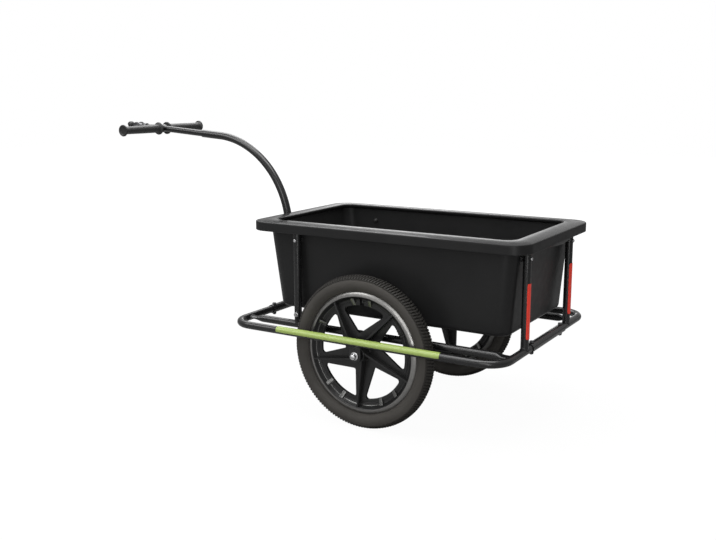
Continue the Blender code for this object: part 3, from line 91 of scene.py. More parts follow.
# Sizes shared with the frame
GAP = 0.0003
TUBE_RADIUS = 0.0100
TUBE_WALL = 0.0015
RAIL_CORNER_RADIUS = 0.0570
SLEEVE_RADIUS = 0.0120
SLEEVE_WALL = 0.0015
STUB_OVERLAP = 0.0350
RAIL_END_FLAT_HEIGHT = 0.0080
RAIL_END_FLAT_WIDTH = 0.0260
RAIL_END_FLAT_LENGTH = 0.0120
RAIL_END_TAPER = 0.0240
DROPOUT_WIDTH = 0.0340
DROPOUT_THICKNESS = 0.0040
DROPOUT_EDGE = 0.0006
BOLT_RADIUS = 0.0029
BOLT_HEX_RADIUS = 0.0056
AXLE_RADIUS = 0.0050
AXLE_HEAD_HEIGHT = 0.0064
BUTTON_HEAD_STAND = 0.0035
CAP_NUT_STAND = 0.0050

BEAD_RADIUS = 0.1525
RIM_BED_HALF = 0.0095
RIM_MOUTH_HALF = 0.0102
RIM_EDGE_HALF = 0.0155
RIM_FLANGE_HEIGHT = 0.0060
RIM_DEPTH = 0.0150
RIM_EDGE_DEPTH = 0.0080
WEB_THICKNESS = 0.0080
WEB_RING_WIDTH = 0.0155
SPOKE_COUNT = 5
SPOKE_TILT_DEG = 8.5
SPOKE_CROSSING_RADIUS = 0.0800
SPOKE_HALF_WIDTH = 0.0200
SPOKE_TAPER_DEG = 9.5
HUB_RADIUS = 0.0230
HUB_LENGTH = 0.0580
HUB_BORE_RADIUS = 0.0110
BEARING_SEAT_RADIUS = 0.0133
BEARING_SEAT_DEPTH = 0.0086
FIN_THICKNESS = 0.0055
TAB_ANGLE_DEG = 10.5
TAB_THICKNESS = 0.0096
TAB_STAND = 0.0085
WEB_RIB_STAND = 0.0011
VALVE_POCKET_WIDTH = 0.0120
VALVE_HOLE_RADIUS = 0.0036
TREAD_BLOCKS = 150
TREAD_DEPTH = 0.0036
TREAD_EDGE = 0.0194
TREAD_LEAN_DEG = 14.0
TREAD_PHASES = ((0.0, 0.0), (0.48, 0.0), (0.56, 1.0), (0.92, 1.0))

TUB_DEPTH = 0.2364
TUB_WALL = 0.0040
TUB_NOSE_OVERHANG = 0.0340
SIDE_DRAFT = 0.0102
REAR_DRAFT = 0.0177
FRONT_DRAFT = 0.0295
BODY_CORNER_RADIUS = 0.0360
FLOOR_FILLET = 0.0135
RIM_WIDTH = 0.0500
RIM_CORNER_RADIUS = 0.0500
RIM_INNER_CORNER_RADIUS = 0.0300
RIM_FLAT_INSET = 0.0305
RIM_TOP_FALL = 0.0023
SKIRT_DEPTH = 0.0265
LIP_DEPTH = 0.0120
FINGER_GRIP_HALF_WIDTH = 0.0700
FINGER_GRIP_FLARE = 0.0045
FINGER_GRIP_DIP = 0.0040
POST_BOLT_DROP = 0.0459
BOLT_BOSS_RADIUS = 0.0085

DRAWBAR_RADIUS = 0.0112
DRAWBAR_LEAN_DEG = 4.05
DRAWBAR_RISE_DEG = 4.15
DRAWBAR_BEND_RADIUS = 0.2695
STEM_VISIBLE = 0.1650
STEM_RADIUS = 0.0092
SOCKET_RADIUS = 0.0139
SOCKET_TOP = 0.0960
HANDLE_TUBE_RADIUS = 0.0095
TEE_HUB_RADIUS = 0.0125
STUB_RADIUS = 0.0108
EYE_RADIUS = 0.0150
JAW_TOP_DROP = 0.0005
JAW_WALL = 0.0040
JAW_OPENING = 0.0120
PIN_HOLE_RADIUS = 0.0046
STRIP_THICKNESS = 0.0006
STRIP_CORNER = 0.0040
RAIL_WELD_RADIUS = 0.0018
POST_WELD_RADIUS = 0.0016
PLATE_WELD_RADIUS = 0.0014
SOCKET_WELD_RADIUS = 0.0019

# Where the horizon glows for reflections: place from -X (0) to +X (1), and level.
HORIZON_STOPS = ((0.195, 0.18), (0.215, 0.42), (0.235, 1.05), (0.26, 1.02), (0.285, 1.0), (0.31, 0.72),
                 (0.335, 0.34), (0.45, 0.34), (0.70, 0.13))
AMBIENT_LEVEL = 0.45
REFLECTION_LEVELS = (0.14, 2.4)
CEILING_LEVEL = 0.42
FLOOR_HALF_SIZE = 9.0
FLOOR_TONE = 0.28
FLOOR_GLOW = 1.12
FLOOR_FADE = (1.1, 2.4)


def middle(node):
    low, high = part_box(node)
    return (low + high) / 2


def reach(node, axis):
    """A node's lowest and highest place along one axis."""
    low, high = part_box(node)
    return low[axis], high[axis]


def off_middle(node):
    """How far a node's near and far ends stand from the middle plane."""
    return sorted(abs(value) for value in reach(node, 1))


# Places read from the frame
AXLE = Vector((middle("left_axle_nut").x, 0.0, middle("left_axle_nut").z))
RAIL_Z = middle("left_outer_rail").z
OUTER_RAIL_Y = -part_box("left_outer_rail")[0].y - TUBE_RADIUS
INNER_RAIL_Y = middle("right_inner_rail").y
FRONT_X = middle("front_cross_sleeve").x
REAR_X = middle("rear_cross_sleeve").x
WHEEL_Y = middle("right_wheel_casting").y
RIM_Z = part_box("tub")[1].z
TUB_FLOOR_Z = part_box("tub")[0].z
RIM_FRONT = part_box("tub")[0].x
RIM_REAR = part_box("tub")[1].x - FINGER_GRIP_FLARE
RIM_HALF_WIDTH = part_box("tub")[1].y
BODY_REAR = REAR_X - TUBE_RADIUS - GAP
BODY_FRONT = RIM_FRONT + TUB_NOSE_OVERHANG
BODY_HALF_WIDTH = INNER_RAIL_Y - TUBE_RADIUS - GAP
POST_TOP_Z = RIM_Z - TUB_WALL - GAP
POST_BOLT_Z = RIM_Z - POST_BOLT_DROP
WINDOW_RADIUS = BEAD_RADIUS - RIM_DEPTH - WEB_RING_WIDTH
HANDLE = Vector((middle("left_grip").x, 0.0, middle("left_grip").z))
PITCH = Vector((middle("pitch_pin").x, 0.0, middle("pitch_pin").z))
HITCH_PIN_X = middle("hitch_pin").x
SIDES = (("left", -1), ("right", 1))
ALONG_X = Matrix.Rotation(pi / 2, 4, "Y")
ALONG_Y = Matrix.Rotation(-pi / 2, 4, "X")
AGAINST_X = Matrix.Rotation(-pi / 2, 4, "Y")
AGAINST_Y = Matrix.Rotation(pi / 2, 4, "X")
UPRIGHT = Matrix.Identity(4)
OUTWARDS = {-1: AGAINST_Y, 1: ALONG_Y}


# Materials

def set_inputs(tree, node, inputs):
    """Give a node's sockets values, or join them to other nodes' outputs."""
    for socket, value in inputs.items():
        if isinstance(value, bpy.types.NodeSocket):
            tree.links.new(value, node.inputs[socket])
        else:
            node.inputs[socket].default_value = value


def add_node(tree, kind, inputs, operation=None):
    node = tree.nodes.new("ShaderNode" + kind)
    if operation:
        node.operation = operation
    set_inputs(tree, node, inputs)
    return node


def worked(tree, operation, one, other):
    return add_node(tree, "Math", {0: one, 1: other}, operation).outputs["Value"]


def place(tree):
    """The surface's own coordinates, in metres."""
    for node in tree.nodes:
        if node.type == "TEX_COORD":
            return node.outputs["Object"]
    return add_node(tree, "TexCoord", {}).outputs["Object"]


def distance_out(tree, vector):
    return add_node(tree, "VectorMath", {0: vector}, "LENGTH").outputs["Value"]


def noise(tree, scale, detail):
    inputs = {"Scale": scale, "Detail": detail, "Vector": place(tree)}
    return add_node(tree, "TexNoise", inputs).outputs["Fac"]


def spread(tree, value, low, high, start=0.0, end=1.0):
    """A value mapped from start and end to low and high, and held beyond them."""
    inputs = {"Value": value, "From Min": start, "From Max": end, "To Min": low, "To Max": high}
    return add_node(tree, "MapRange", inputs).outputs["Result"]


def vary_colour(tree, shader, value, dark, light):
    """Let the base colour drift between two tones."""
    ramp = add_node(tree, "ValToRGB", {"Fac": value})
    for stop, position, colour in zip(ramp.color_ramp.elements, (0.35, 0.65), (dark, light)):
        stop.position = position
        stop.color = (*colour, 1.0)
    set_inputs(tree, shader, {"Base Color": ramp.outputs["Color"]})


def add_bump(tree, shader, height, strength, distance):
    bump = add_node(tree, "Bump", {"Strength": strength, "Distance": distance, "Height": height})
    set_inputs(tree, shader, {"Normal": bump.outputs["Normal"]})


def tone(colour, share):
    return tuple(channel * share for channel in colour)


def new_material(name, colour, roughness, specular=0.5, metallic=0.0):
    """A Principled material, its node tree and its shader."""
    material = bpy.data.materials.new(name)
    material.use_nodes = True
    tree = material.node_tree
    shader = tree.nodes["Principled BSDF"]
    set_inputs(tree, shader, {"Base Color": (*colour, 1.0), "Roughness": roughness, "Metallic": metallic,
                              "Specular IOR Level": specular})
    return material, tree, shader


def varied(name, colour, roughness, tones, gloss, grain, specular=0.5, metallic=0.0):
    """A finish that drifts in tone and gloss and has a fine grain.

    Tones, gloss and grain each start with their noise's scale and detail. Then come the darkest and lightest
    share of the colour, the change of roughness down and up, and the grain's strength and depth.
    """
    material, tree, shader = new_material(name, colour, roughness, specular, metallic)
    vary_colour(tree, shader, noise(tree, *tones[:2]), tone(colour, tones[2]), tone(colour, tones[3]))
    drift = spread(tree, noise(tree, *gloss[:2]), roughness + gloss[2], roughness + gloss[3], 0.3, 0.7)
    set_inputs(tree, shader, {"Roughness": drift})
    add_bump(tree, shader, noise(tree, *grain[:2]), *grain[2:])
    return material


def reworked(material, socket):
    """A finish's tree and shader, and what now feeds one of the shader's sockets."""
    shader = material.node_tree.nodes["Principled BSDF"]
    return material.node_tree, shader, shader.inputs[socket].links[0].from_socket


def moulded(name, colour, roughness, specular, grain_scale, grain_depth, drift=0.12):
    """A moulded plastic or rubber: fine grain, and slow drift of tone and gloss."""
    return varied(name, colour, roughness, (9.0, 2.0, 1 - drift, 1 + drift), (60.0, 3.0, -0.05, 0.05),
                  (grain_scale, 4.0, 0.35, grain_depth), specular)


def make_tub_plastic():
    """Black polyethylene, rubbed smooth and glossier where it faces up."""
    material = varied("tub_plastic", (0.0155, 0.0155, 0.0158), 0.34, (9.0, 2.0, 0.92, 1.08),
                      (60.0, 3.0, -0.01, 0.06), (1400.0, 4.0, 0.3, 0.00003), 0.24)
    tree, shader, drift = reworked(material, "Roughness")
    facing = add_node(tree, "NewGeometry", {}).outputs["Normal"]
    upward = add_node(tree, "SeparateXYZ", {0: facing}).outputs["Z"]
    rubbed = spread(tree, upward, 0.0, -0.17, 0.80, 0.97)
    set_inputs(tree, shader, {"Roughness": worked(tree, "ADD", drift, rubbed)})
    return material


def make_tyre_rubber():
    """Worn rubber: the sides carry a pale bloom, and the tread's blocks are darker."""
    material = moulded("tyre_rubber", (0.0520, 0.0480, 0.0430), 0.72, 0.35, 700.0, 0.0003, 0.10)
    tree, shader, drift = reworked(material, "Base Color")
    flat = add_node(tree, "VectorMath", {0: place(tree), 1: (1.0, 1.0, 0.0)}, "MULTIPLY")
    radius = distance_out(tree, flat.outputs["Vector"])
    darkening = spread(tree, radius, 1.0, 0.48, AXLE.z - 0.0125, AXLE.z - 0.0085)
    darker = add_node(tree, "VectorMath", {0: drift, "Scale": darkening}, "SCALE")
    set_inputs(tree, shader, {"Base Color": darker.outputs["Vector"]})
    return material


def make_paint():
    """Black powder coat: a soft orange peel with a faint speckle."""
    material = varied("black_powder_coat", (0.0085, 0.0085, 0.0090), 0.26, (420.0, 2.0, 0.92, 1.1),
                      (35.0, 2.0, -0.02, 0.04), (260.0, 2.0, 0.04, 0.00001))
    tree, shader, _ = reworked(material, "Base Color")
    set_inputs(tree, shader, {"Coat Weight": 0.25, "Coat Roughness": 0.22})
    return material


def make_metal(name, colour, roughness, mottle=0.22, grain=0.00005):
    """Plated or polished metal, also used as painted reflection and painted highlight on the wheel's black
    plastic: small mottling, and fine marks from its making.
    """
    return varied(name, colour, roughness, (180.0, 4.0, 1 - mottle, 1 + mottle / 2),
                  (700.0, 3.0, -0.08, 0.12), (900.0, 2.0, 0.15, grain), metallic=1.0)


def make_film(name, colour, dark_share):
    """Reflective film: small prism cells under a glossy face."""
    material, tree, shader = new_material(name, colour, 0.32)
    set_inputs(tree, shader, {"Coat Weight": 0.2, "Coat Roughness": 0.12})
    cells = tree.nodes.new("ShaderNodeTexVoronoi")
    cells.feature = "DISTANCE_TO_EDGE"
    set_inputs(tree, cells, {"Scale": 360.0, "Randomness": 0.15, "Vector": place(tree)})
    edge = spread(tree, cells.outputs["Distance"], 0.0, 1.0, 0.02, 0.16)
    vary_colour(tree, shader, edge, tone(colour, dark_share), colour)
    add_bump(tree, shader, edge, 0.2, 0.0002)
    return material


MATERIALS = {
    "frame_paint": make_paint(),
    "tub_plastic": make_tub_plastic(),
    "wheel_plastic": moulded("wheel_plastic", (0.0125, 0.0125, 0.0125), 0.33, 0.50, 900.0, 0.00005),
    # Painted highlight: a grey metal copy of the black wheel plastic, for the tabs' inward slopes
    "tab_face": make_metal("tab_painted_highlight", (0.22, 0.22, 0.215), 0.26, 0.08, 0.00001),
    # Painted reflection: a grey metal copy of the black wheel plastic, for the rim's outer band
    "rim_face": make_metal("rim_painted_reflection", (0.33, 0.325, 0.315), 0.33, 0.08, 0.00001),
    "grip_plastic": moulded("grip_plastic", (0.0210, 0.0210, 0.0210), 0.42, 0.50, 1100.0, 0.00002),
    "tyre_rubber": make_tyre_rubber(),
    "tube_rubber": moulded("tube_rubber", (0.0200, 0.0200, 0.0200), 0.55, 0.40, 500.0, 0.0003),
    "zinc_steel": make_metal("zinc_plate", (0.72, 0.72, 0.73), 0.30),
    "bearing_steel": make_metal("ground_steel", (0.62, 0.62, 0.63), 0.22),
    "dark_steel": make_metal("black_zinc", (0.16, 0.16, 0.165), 0.34),
    "lime_film": make_film("lime_film", (0.330, 0.438, 0.110), 0.86),
    "red_film": make_film("red_film", (0.950, 0.052, 0.028), 0.85),
}
FINISH_OF = {row["node"]: row["material_slot"] for row in frame["record"]["subparts"]}
BODY_OF = {node: body for body, nodes in frame["record"]["behaviour"]["bodies"].items() for node in nodes}


# Mesh building

def new_object(name, data):
    thing = bpy.data.objects.new(name, data)
    bpy.context.scene.collection.objects.link(thing)
    return thing


def smooth(mesh, below_deg=SMOOTH_BELOW_DEG):
    mesh.shade_smooth()
    mesh.set_sharp_from_angle(angle=radians(below_deg))
    return mesh


def skin(rings, closed, capped=False, smooth_below_deg=SMOOTH_BELOW_DEG):
    """A mesh over a row of sections with the same number of points. A closed row ends where it began."""
    work = bmesh.new()
    rows = [[work.verts.new(point) for point in ring] for ring in rings]
    faces = []
    for row, after in zip(rows, rows[1:] + rows[:1] if closed else rows[1:]):
        faces += zip(row, row[1:] + row[:1], after[1:] + after[:1], after)
    if capped:
        faces += [rows[0][::-1], rows[-1]]
    for corners in faces:
        if len({tuple(v.co) for v in corners}) > 2:
            work.faces.new(corners)
    bmesh.ops.remove_doubles(work, verts=work.verts, dist=JOIN_WITHIN)
    bmesh.ops.dissolve_degenerate(work, edges=work.edges, dist=JOIN_WITHIN)
    bmesh.ops.recalc_face_normals(work, faces=work.faces)
    mesh = bpy.data.meshes.new("mesh")
    work.to_mesh(mesh)
    work.free()
    return smooth(mesh, smooth_below_deg)


def loft(rings):
    return skin(rings, closed=False, capped=True)


def circle(radius, count):
    return [(radius * cos(2 * pi * i / count), radius * sin(2 * pi * i / count)) for i in range(count)]


def arc(radius, start_deg, end_deg, steps, centre=(0.0, 0.0)):
    angles = [radians(start_deg + (end_deg - start_deg) * i / steps) for i in range(steps + 1)]
    return [(centre[0] + radius * cos(a), centre[1] + radius * sin(a)) for a in angles]


def mm(*points, radius=0.0, height=0.0):
    """Profile points from (radius, height) pairs in millimetres, past a radius and a height in metres."""
    return [(radius + out / 1000, height + up / 1000) for out, up in points]


def spaced(start, end, steps):
    return [start + (end - start) * i / steps for i in range(steps + 1)]


def mirrored(half):
    """A half section and its mirror image, without the two points on the middle line again."""
    return half + [(r, -z) for r, z in reversed(half[1:-1])]


def lathe(profile, steps=SMALL_STEPS, closed=False):
    """A profile of (radius, height) points turned about Z. An end at radius 0 closes the form."""
    rings = [[(x, y, height) for x, y in circle(radius, steps)] for radius, height in profile]
    return skin(rings, closed)


def rod(radius, length, steps=SMALL_STEPS, start=0.0):
    return lathe(block(0.0, radius, start, start + length), steps)


def block(inner, outer, low, high):
    """The section of a plain ring or rod, to be turned or rounded."""
    return [(inner, low), (outer, low), (outer, high), (inner, high)]


def round_profile(points, radius):
    """The same (radius, height) profile with its inner corners rounded."""
    path = [Vector((r, 0.0, z)) for r, z in points]
    rounded = [points[0]]
    for before, corner, after in zip(path, path[1:], path[2:]):
        room = min((before - corner).length, (after - corner).length) * 0.45
        for spot in fillet(before, corner, after, radius, EDGE_STEPS, room):
            rounded.append((max(spot.x, 0.0), spot.z))
    rounded.append(points[-1])
    return rounded


def fillet(before, corner, after, radius, steps, room=None):
    """The arc that rounds one corner of a path."""
    a = (before - corner).normalized()
    b = (after - corner).normalized()
    half = a.angle(b, 0.0) / 2
    if half < 0.05 or half > pi / 2 - 0.02:
        return [corner]
    back = radius / tan(half)
    if room is not None and back > room:
        back = room
        radius = back * tan(half)
    centre = corner + (a + b).normalized() * (radius / sin(half))
    start = corner + a * back - centre
    end = corner + b * back - centre
    sweep = start.angle(end)
    return [centre + start * (sin((1 - i / steps) * sweep) / sin(sweep))
            + end * (sin(i / steps * sweep) / sin(sweep)) for i in range(steps + 1)]


def rounded_path(corners, radius, steps):
    corners = [Vector(point) for point in corners]
    path = [corners[0]]
    for before, corner, after in zip(corners, corners[1:], corners[2:]):
        path.extend(fillet(before, corner, after, radius, steps))
    path.append(corners[-1])
    return path


def path_frames(path, closed=False):
    """A point, side and up direction at each station of a path, without twist."""
    count = len(path)
    tangents = []
    for i in range(count):
        ahead = path[(i + 1) % count] if closed or i < count - 1 else path[i]
        behind = path[i - 1] if closed or i > 0 else path[i]
        tangents.append((ahead - behind).normalized())
    side = tangents[0].orthogonal().normalized()
    if abs(tangents[0].y) < 0.99:
        side = Vector((0.0, 1.0, 0.0)).cross(tangents[0]).normalized()
    frames = []
    for spot, tangent in zip(path, tangents):
        side = (side - tangent * side.dot(tangent)).normalized()
        frames.append((spot, side, tangent.cross(side)))
    return frames


def circle_ring(centre, side, up, radius, count):
    return [centre + side * x + up * y for x, y in circle(radius, count)]


def swept_tube(path, radius, wall):
    """A hollow tube along a path, with softened lips at its open ends."""
    def ring(station, size, shift=Vector()):
        centre, side, up = station
        return circle_ring(centre + shift, side, up, size, TUBE_SIDES)

    lip = wall * 0.3
    inner = radius - wall
    first, *between, last = path_frames(path)
    ahead = (path[1] - path[0]).normalized() * lip
    behind = (path[-2] - path[-1]).normalized() * lip
    rings = [ring(first, radius - lip), ring(first, radius, ahead)]
    rings += [ring(station, radius) for station in between]
    rings += [ring(last, radius, behind), ring(last, radius - lip), ring(last, inner + lip),
              ring(last, inner, behind)]
    rings += [ring(station, inner) for station in reversed(between)]
    rings += [ring(first, inner, ahead), ring(first, inner + lip)]
    return skin(rings, closed=True)


def outline_plate(outline, holes, thickness, edge):
    """A flat outline with holes, thickened both ways along Z, with softened edges."""
    curve = bpy.data.curves.new("outline", "CURVE")
    curve.dimensions = "2D"
    curve.fill_mode = "BOTH"
    curve.extrude = thickness / 2 - edge
    curve.bevel_depth = edge
    curve.bevel_resolution = 1
    curve.offset = -edge
    for loop in [outline] + list(holes):
        line = curve.splines.new("POLY")
        line.points.add(len(loop) - 1)
        for point, spot in zip(line.points, loop):
            point.co = (spot[0], spot[1], 0.0, 1.0)
        line.use_cyclic_u = True
    guide = new_object("outline", curve)
    mesh = baked(guide)
    bpy.data.objects.remove(guide, do_unlink=True)
    bpy.data.curves.remove(curve)
    return mesh


def baked(thing):
    """The mesh that an object's curve or modifiers make, welded."""
    bpy.context.view_layer.update()
    graph = bpy.context.evaluated_depsgraph_get()
    mesh = bpy.data.meshes.new_from_object(thing.evaluated_get(graph), depsgraph=graph)
    work = bmesh.new()
    work.from_mesh(mesh)
    bmesh.ops.remove_doubles(work, verts=work.verts, dist=JOIN_BAKED_WITHIN)
    bmesh.ops.dissolve_degenerate(work, edges=work.edges, dist=JOIN_BAKED_WITHIN)
    work.to_mesh(mesh)
    work.free()
    return smooth(mesh)


def combined(base, others, cutters=()):
    """One mesh from a base, joined with others and cut by cutters. All are (mesh, matrix) pairs."""
    things = []
    for mesh, matrix in [base, *others, *cutters]:
        things.append(new_object("part", mesh.copy()))
        things[-1].data.transform(matrix)
    root = things[0]
    for i, thing in enumerate(things[1:]):
        step = root.modifiers.new("step%d" % i, "BOOLEAN")
        step.operation = "UNION" if i < len(others) else "DIFFERENCE"
        step.solver = "EXACT"
        step.object = thing
    mesh = baked(root)
    for thing in things:
        bpy.data.objects.remove(thing, do_unlink=True)
    return mesh


# Pieces

def show(name, mesh, node, slot=None, matrix=UPRIGHT, stands_for=()):
    """Put a piece in the scene, riding with a CAD node's body, in place of the nodes it stands for."""
    mesh.name = name
    piece = new_object(name, mesh)
    piece.matrix_world = matrix
    slot = slot or FINISH_OF[node]
    mesh.materials.clear()
    mesh.materials.append(MATERIALS[slot])
    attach(piece, BODY_OF[node])
    if stands_for:
        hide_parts(*stands_for)
    return piece


def dress(name, mesh, node, matrix=UPRIGHT, slot=None):
    """A piece that stands for one CAD node."""
    return show(name, mesh, node, slot, matrix, (node,))


def at(x, y, z, turn=UPRIGHT):
    return Matrix.Translation((x, y, z)) @ turn


def weld_bead(name, path, node, radius):
    """A closed ripple of weld metal along a joint, painted with the frame."""
    rings = []
    for i, station in enumerate(path_frames(path, closed=True)):
        swell = radius * (1.0 + 0.16 * sin(i * 2.4) + 0.06 * sin(i * 0.9))
        rings.append(circle_ring(*station, swell, WELD_SIDES))
    show(name, skin(rings, closed=True), node, "frame_paint")


def hexagon(radius, height):
    """A hexagon's outline, sampled so that it lofts on to a circle."""
    points = []
    for i in range(HEX_POINTS):
        angle = 2 * pi * i / HEX_POINTS
        within = (angle % (pi / 3)) - pi / 6
        out = radius * cos(pi / 6) / cos(within)
        points.append(Vector((out * cos(angle), out * sin(angle), height)))
    return points


def disc(radius, height):
    return [Vector((x, y, height)) for x, y in circle(radius, HEX_POINTS)]


def hex_block(radius, height, chamfer, washer_radius=0.0, washer_height=0.0):
    """A hexagonal head on Z with a chamfered top, and a washer face or flange below."""
    rings = []
    if washer_radius:
        soft = washer_height * 0.25
        rings = [disc(washer_radius - soft, 0.0), disc(washer_radius, soft),
                 disc(washer_radius, washer_height * 0.6), disc(radius * 0.98, washer_height)]
    rings += [hexagon(radius, washer_height + 0.0001), hexagon(radius, height - chamfer),
              disc(radius * cos(pi / 6) * 0.97, height)]
    return loft(rings)


def screw_end(radius, length):
    """A threaded stub on Z, with turned ridges and a chamfered tip."""
    pitch = 0.0010
    profile = [(0.0, 0.0)]
    steps = max(2, int(length / pitch))
    for i in range(steps):
        base = i * length / steps
        profile += [(radius, base + 0.0001), (radius * 0.88, base + pitch * 0.5)]
    profile += [(radius * 0.8, length), (0.0, length)]
    return lathe(profile, THREAD_STEPS)


# Frame of round tube

def build_outer_rails():
    sleeve_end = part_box("front_cross_sleeve")[1].y
    for side, sign in SIDES:
        node = side + "_outer_rail"
        stub_y, rail_y = sign * (sleeve_end - STUB_OVERLAP), sign * OUTER_RAIL_Y
        corners = [(FRONT_X, stub_y, RAIL_Z), (FRONT_X, rail_y, RAIL_Z), (REAR_X, rail_y, RAIL_Z),
                   (REAR_X, stub_y, RAIL_Z)]
        path = rounded_path(corners, RAIL_CORNER_RADIUS, RAIL_BEND_STEPS)
        dress(side + "_bent_rail", swept_tube(path, TUBE_RADIUS, TUBE_WALL), node)


def pressed_ring(x, y, share):
    """A rail's section, from round at share 0 to pressed flat at share 1."""
    wide = TUBE_RADIUS + (RAIL_END_FLAT_WIDTH / 2 - TUBE_RADIUS) * share
    high = TUBE_RADIUS + (RAIL_END_FLAT_HEIGHT / 2 - TUBE_RADIUS) * share
    return [Vector((x, y + wide * across, RAIL_Z + high * up)) for across, up in circle(1.0, TUBE_SIDES)]


def build_inner_rails():
    front, rear = FRONT_X + TUBE_RADIUS + GAP, REAR_X - TUBE_RADIUS - GAP
    taper = [(RAIL_END_FLAT_LENGTH + RAIL_END_TAPER * t, 1 - t * t * (3 - 2 * t))
             for t in spaced(0.0, 1.0, RAIL_TAPER_STEPS)]
    stations = [(front, 1.0)] + [(front + along, share) for along, share in taper]
    stations += [(rear - along, share) for along, share in reversed(taper)] + [(rear, 1.0)]
    for side, sign in SIDES:
        node = side + "_inner_rail"
        y = sign * INNER_RAIL_Y
        dress(side + "_straight_rail", loft([pressed_ring(x, y, share) for x, share in stations]), node)
        for end, stub_x, way in (("front", FRONT_X, -1), ("rear", REAR_X, 1)):
            ring = []
            for across, up in circle(1.0, WELD_POINTS):
                z = RAIL_END_FLAT_HEIGHT / 2 * up
                seat = stub_x - way * sqrt(TUBE_RADIUS ** 2 - z ** 2)
                ring.append(Vector((seat, y + RAIL_END_FLAT_WIDTH / 2 * across, RAIL_Z + z)))
            weld_bead("%s_%s_rail_weld" % (side, end), ring, node, RAIL_WELD_RADIUS)


def build_sleeves():
    for end, x in (("front", FRONT_X), ("rear", REAR_X)):
        node = end + "_cross_sleeve"
        low, high = reach(node, 1)
        path = [Vector((x, y, RAIL_Z)) for y in (low, low + 0.006, high - 0.006, high)]
        dress(end + "_sleeve", swept_tube(path, SLEEVE_RADIUS, SLEEVE_WALL), node)


def saddle(off):
    """The height of a post's foot on the round rail, at a distance from the rail's middle line."""
    return RAIL_Z + sqrt((TUBE_RADIUS + GAP) ** 2 - min(abs(off), TUBE_RADIUS) ** 2)


def post_mesh(spot, across):
    """A tube whose foot follows the rail below it. Across is the axis at right angles to that rail."""
    def ring(radius, height=None):
        return [Vector((spot.x + point[0], spot.y + point[1], height or saddle(point[across])))
                for point in circle(radius, TUBE_SIDES)]

    inner, soft = TUBE_RADIUS - TUBE_WALL, 0.0005
    rings = [ring(TUBE_RADIUS), ring(TUBE_RADIUS, POST_TOP_Z - soft), ring(TUBE_RADIUS - soft, POST_TOP_Z),
             ring(inner + soft, POST_TOP_Z), ring(inner, POST_TOP_Z - soft), ring(inner)]
    return skin(rings, closed=True)


def build_posts():
    for side, _ in SIDES:
        for end, across in (("front", 1), ("rear", 0)):
            node = "%s_%s_post" % (side, end)
            spot = middle(node)
            dress("%s_%s_upright" % (side, end), post_mesh(spot, across), node)
            if end == "rear":
                path = [Vector((spot.x + x, spot.y + y, saddle(x)))
                        for x, y in circle(TUBE_RADIUS + 0.0004, WELD_POINTS)]
                weld_bead(side + "_rear_post_weld", path, node, POST_WELD_RADIUS)


def at_axle(y, turn):
    return at(AXLE.x, y, AXLE.z, turn)


def build_dropouts():
    half = DROPOUT_WIDTH / 2
    top = RAIL_Z - AXLE.z - TUBE_RADIUS - GAP
    outline = [(half, top), (-half, top)] + arc(half, 180.0, 360.0, 24)
    hole = circle(AXLE_RADIUS + GAP, HOLE_STEPS)
    for side, sign in SIDES:
        for end, y in (("outer", OUTER_RAIL_Y), ("inner", INNER_RAIL_Y)):
            node = "%s_%s_dropout" % (side, end)
            mesh = outline_plate(outline, [hole], DROPOUT_THICKNESS, DROPOUT_EDGE)
            dress("%s_%s_axle_plate" % (side, end), mesh, node, at_axle(sign * y, AGAINST_Y))
            path = [Vector((AXLE.x + half * 0.98 * c, sign * y + 0.0032 * s, RAIL_Z - TUBE_RADIUS + 0.0002))
                    for c, s in circle(1.0, SMALL_STEPS)]
            weld_bead("%s_%s_plate_weld" % (side, end), path, node, PLATE_WELD_RADIUS)


# Fasteners

def build_bolt(node, seat, direction, grip, name, capped=False, slot=None):
    """An M6 bolt, from its head's seat along a direction. Capped: a button head and a black cap nut."""
    turn = direction.to_track_quat("Z", "Y").to_matrix().to_4x4()

    def along(distance):
        return Matrix.Translation(seat + direction * distance) @ turn

    head_place = along(-GAP) @ Matrix.Rotation(pi, 4, "X")
    if capped:
        button = mm((0, 0), (4.6, 0), (4.6, 0.8), (4.2, 1.8), (3.2, 2.7), (2.0, 3.1), (1.4, 3.1), (1.4, 2.0),
                    (0, 2.0))
        cap = mm((0, 0), (6.6, 0), (6.6, 0.8), (5.8, 1.6), (5.5, 3.4), (4.4, 4.8), (2.6, 5.5), (0, 5.7))
        dress(name, lathe(button, BOLT_STEPS), node, head_place)
        show(name + "_cap", lathe(cap, BOLT_STEPS), node, "grip_plastic", along(grip + GAP))
    else:
        head = hex_block(BOLT_HEX_RADIUS, 0.0038, 0.0005, 0.0063, 0.0011)
        nut = hex_block(BOLT_HEX_RADIUS, 0.0046, 0.0005, 0.0062, 0.0010)
        thread = screw_end(BOLT_RADIUS, 0.0019)
        dress(name, head, node, head_place, slot)
        show(name + "_nut", nut, node, slot, along(grip + GAP))
        show(name + "_thread", thread, node, slot, along(grip + GAP + 0.0040))
    shank = rod(BOLT_RADIUS, grip + 2 * GAP + 0.0002, THREAD_STEPS)
    show(name + "_shank", shank, node, None, along(-GAP))


def clamped(low, high):
    """Where a capped bolt's nut and head sit, from its node's reach."""
    return low + CAP_NUT_STAND + GAP, high - BUTTON_HEAD_STAND - GAP


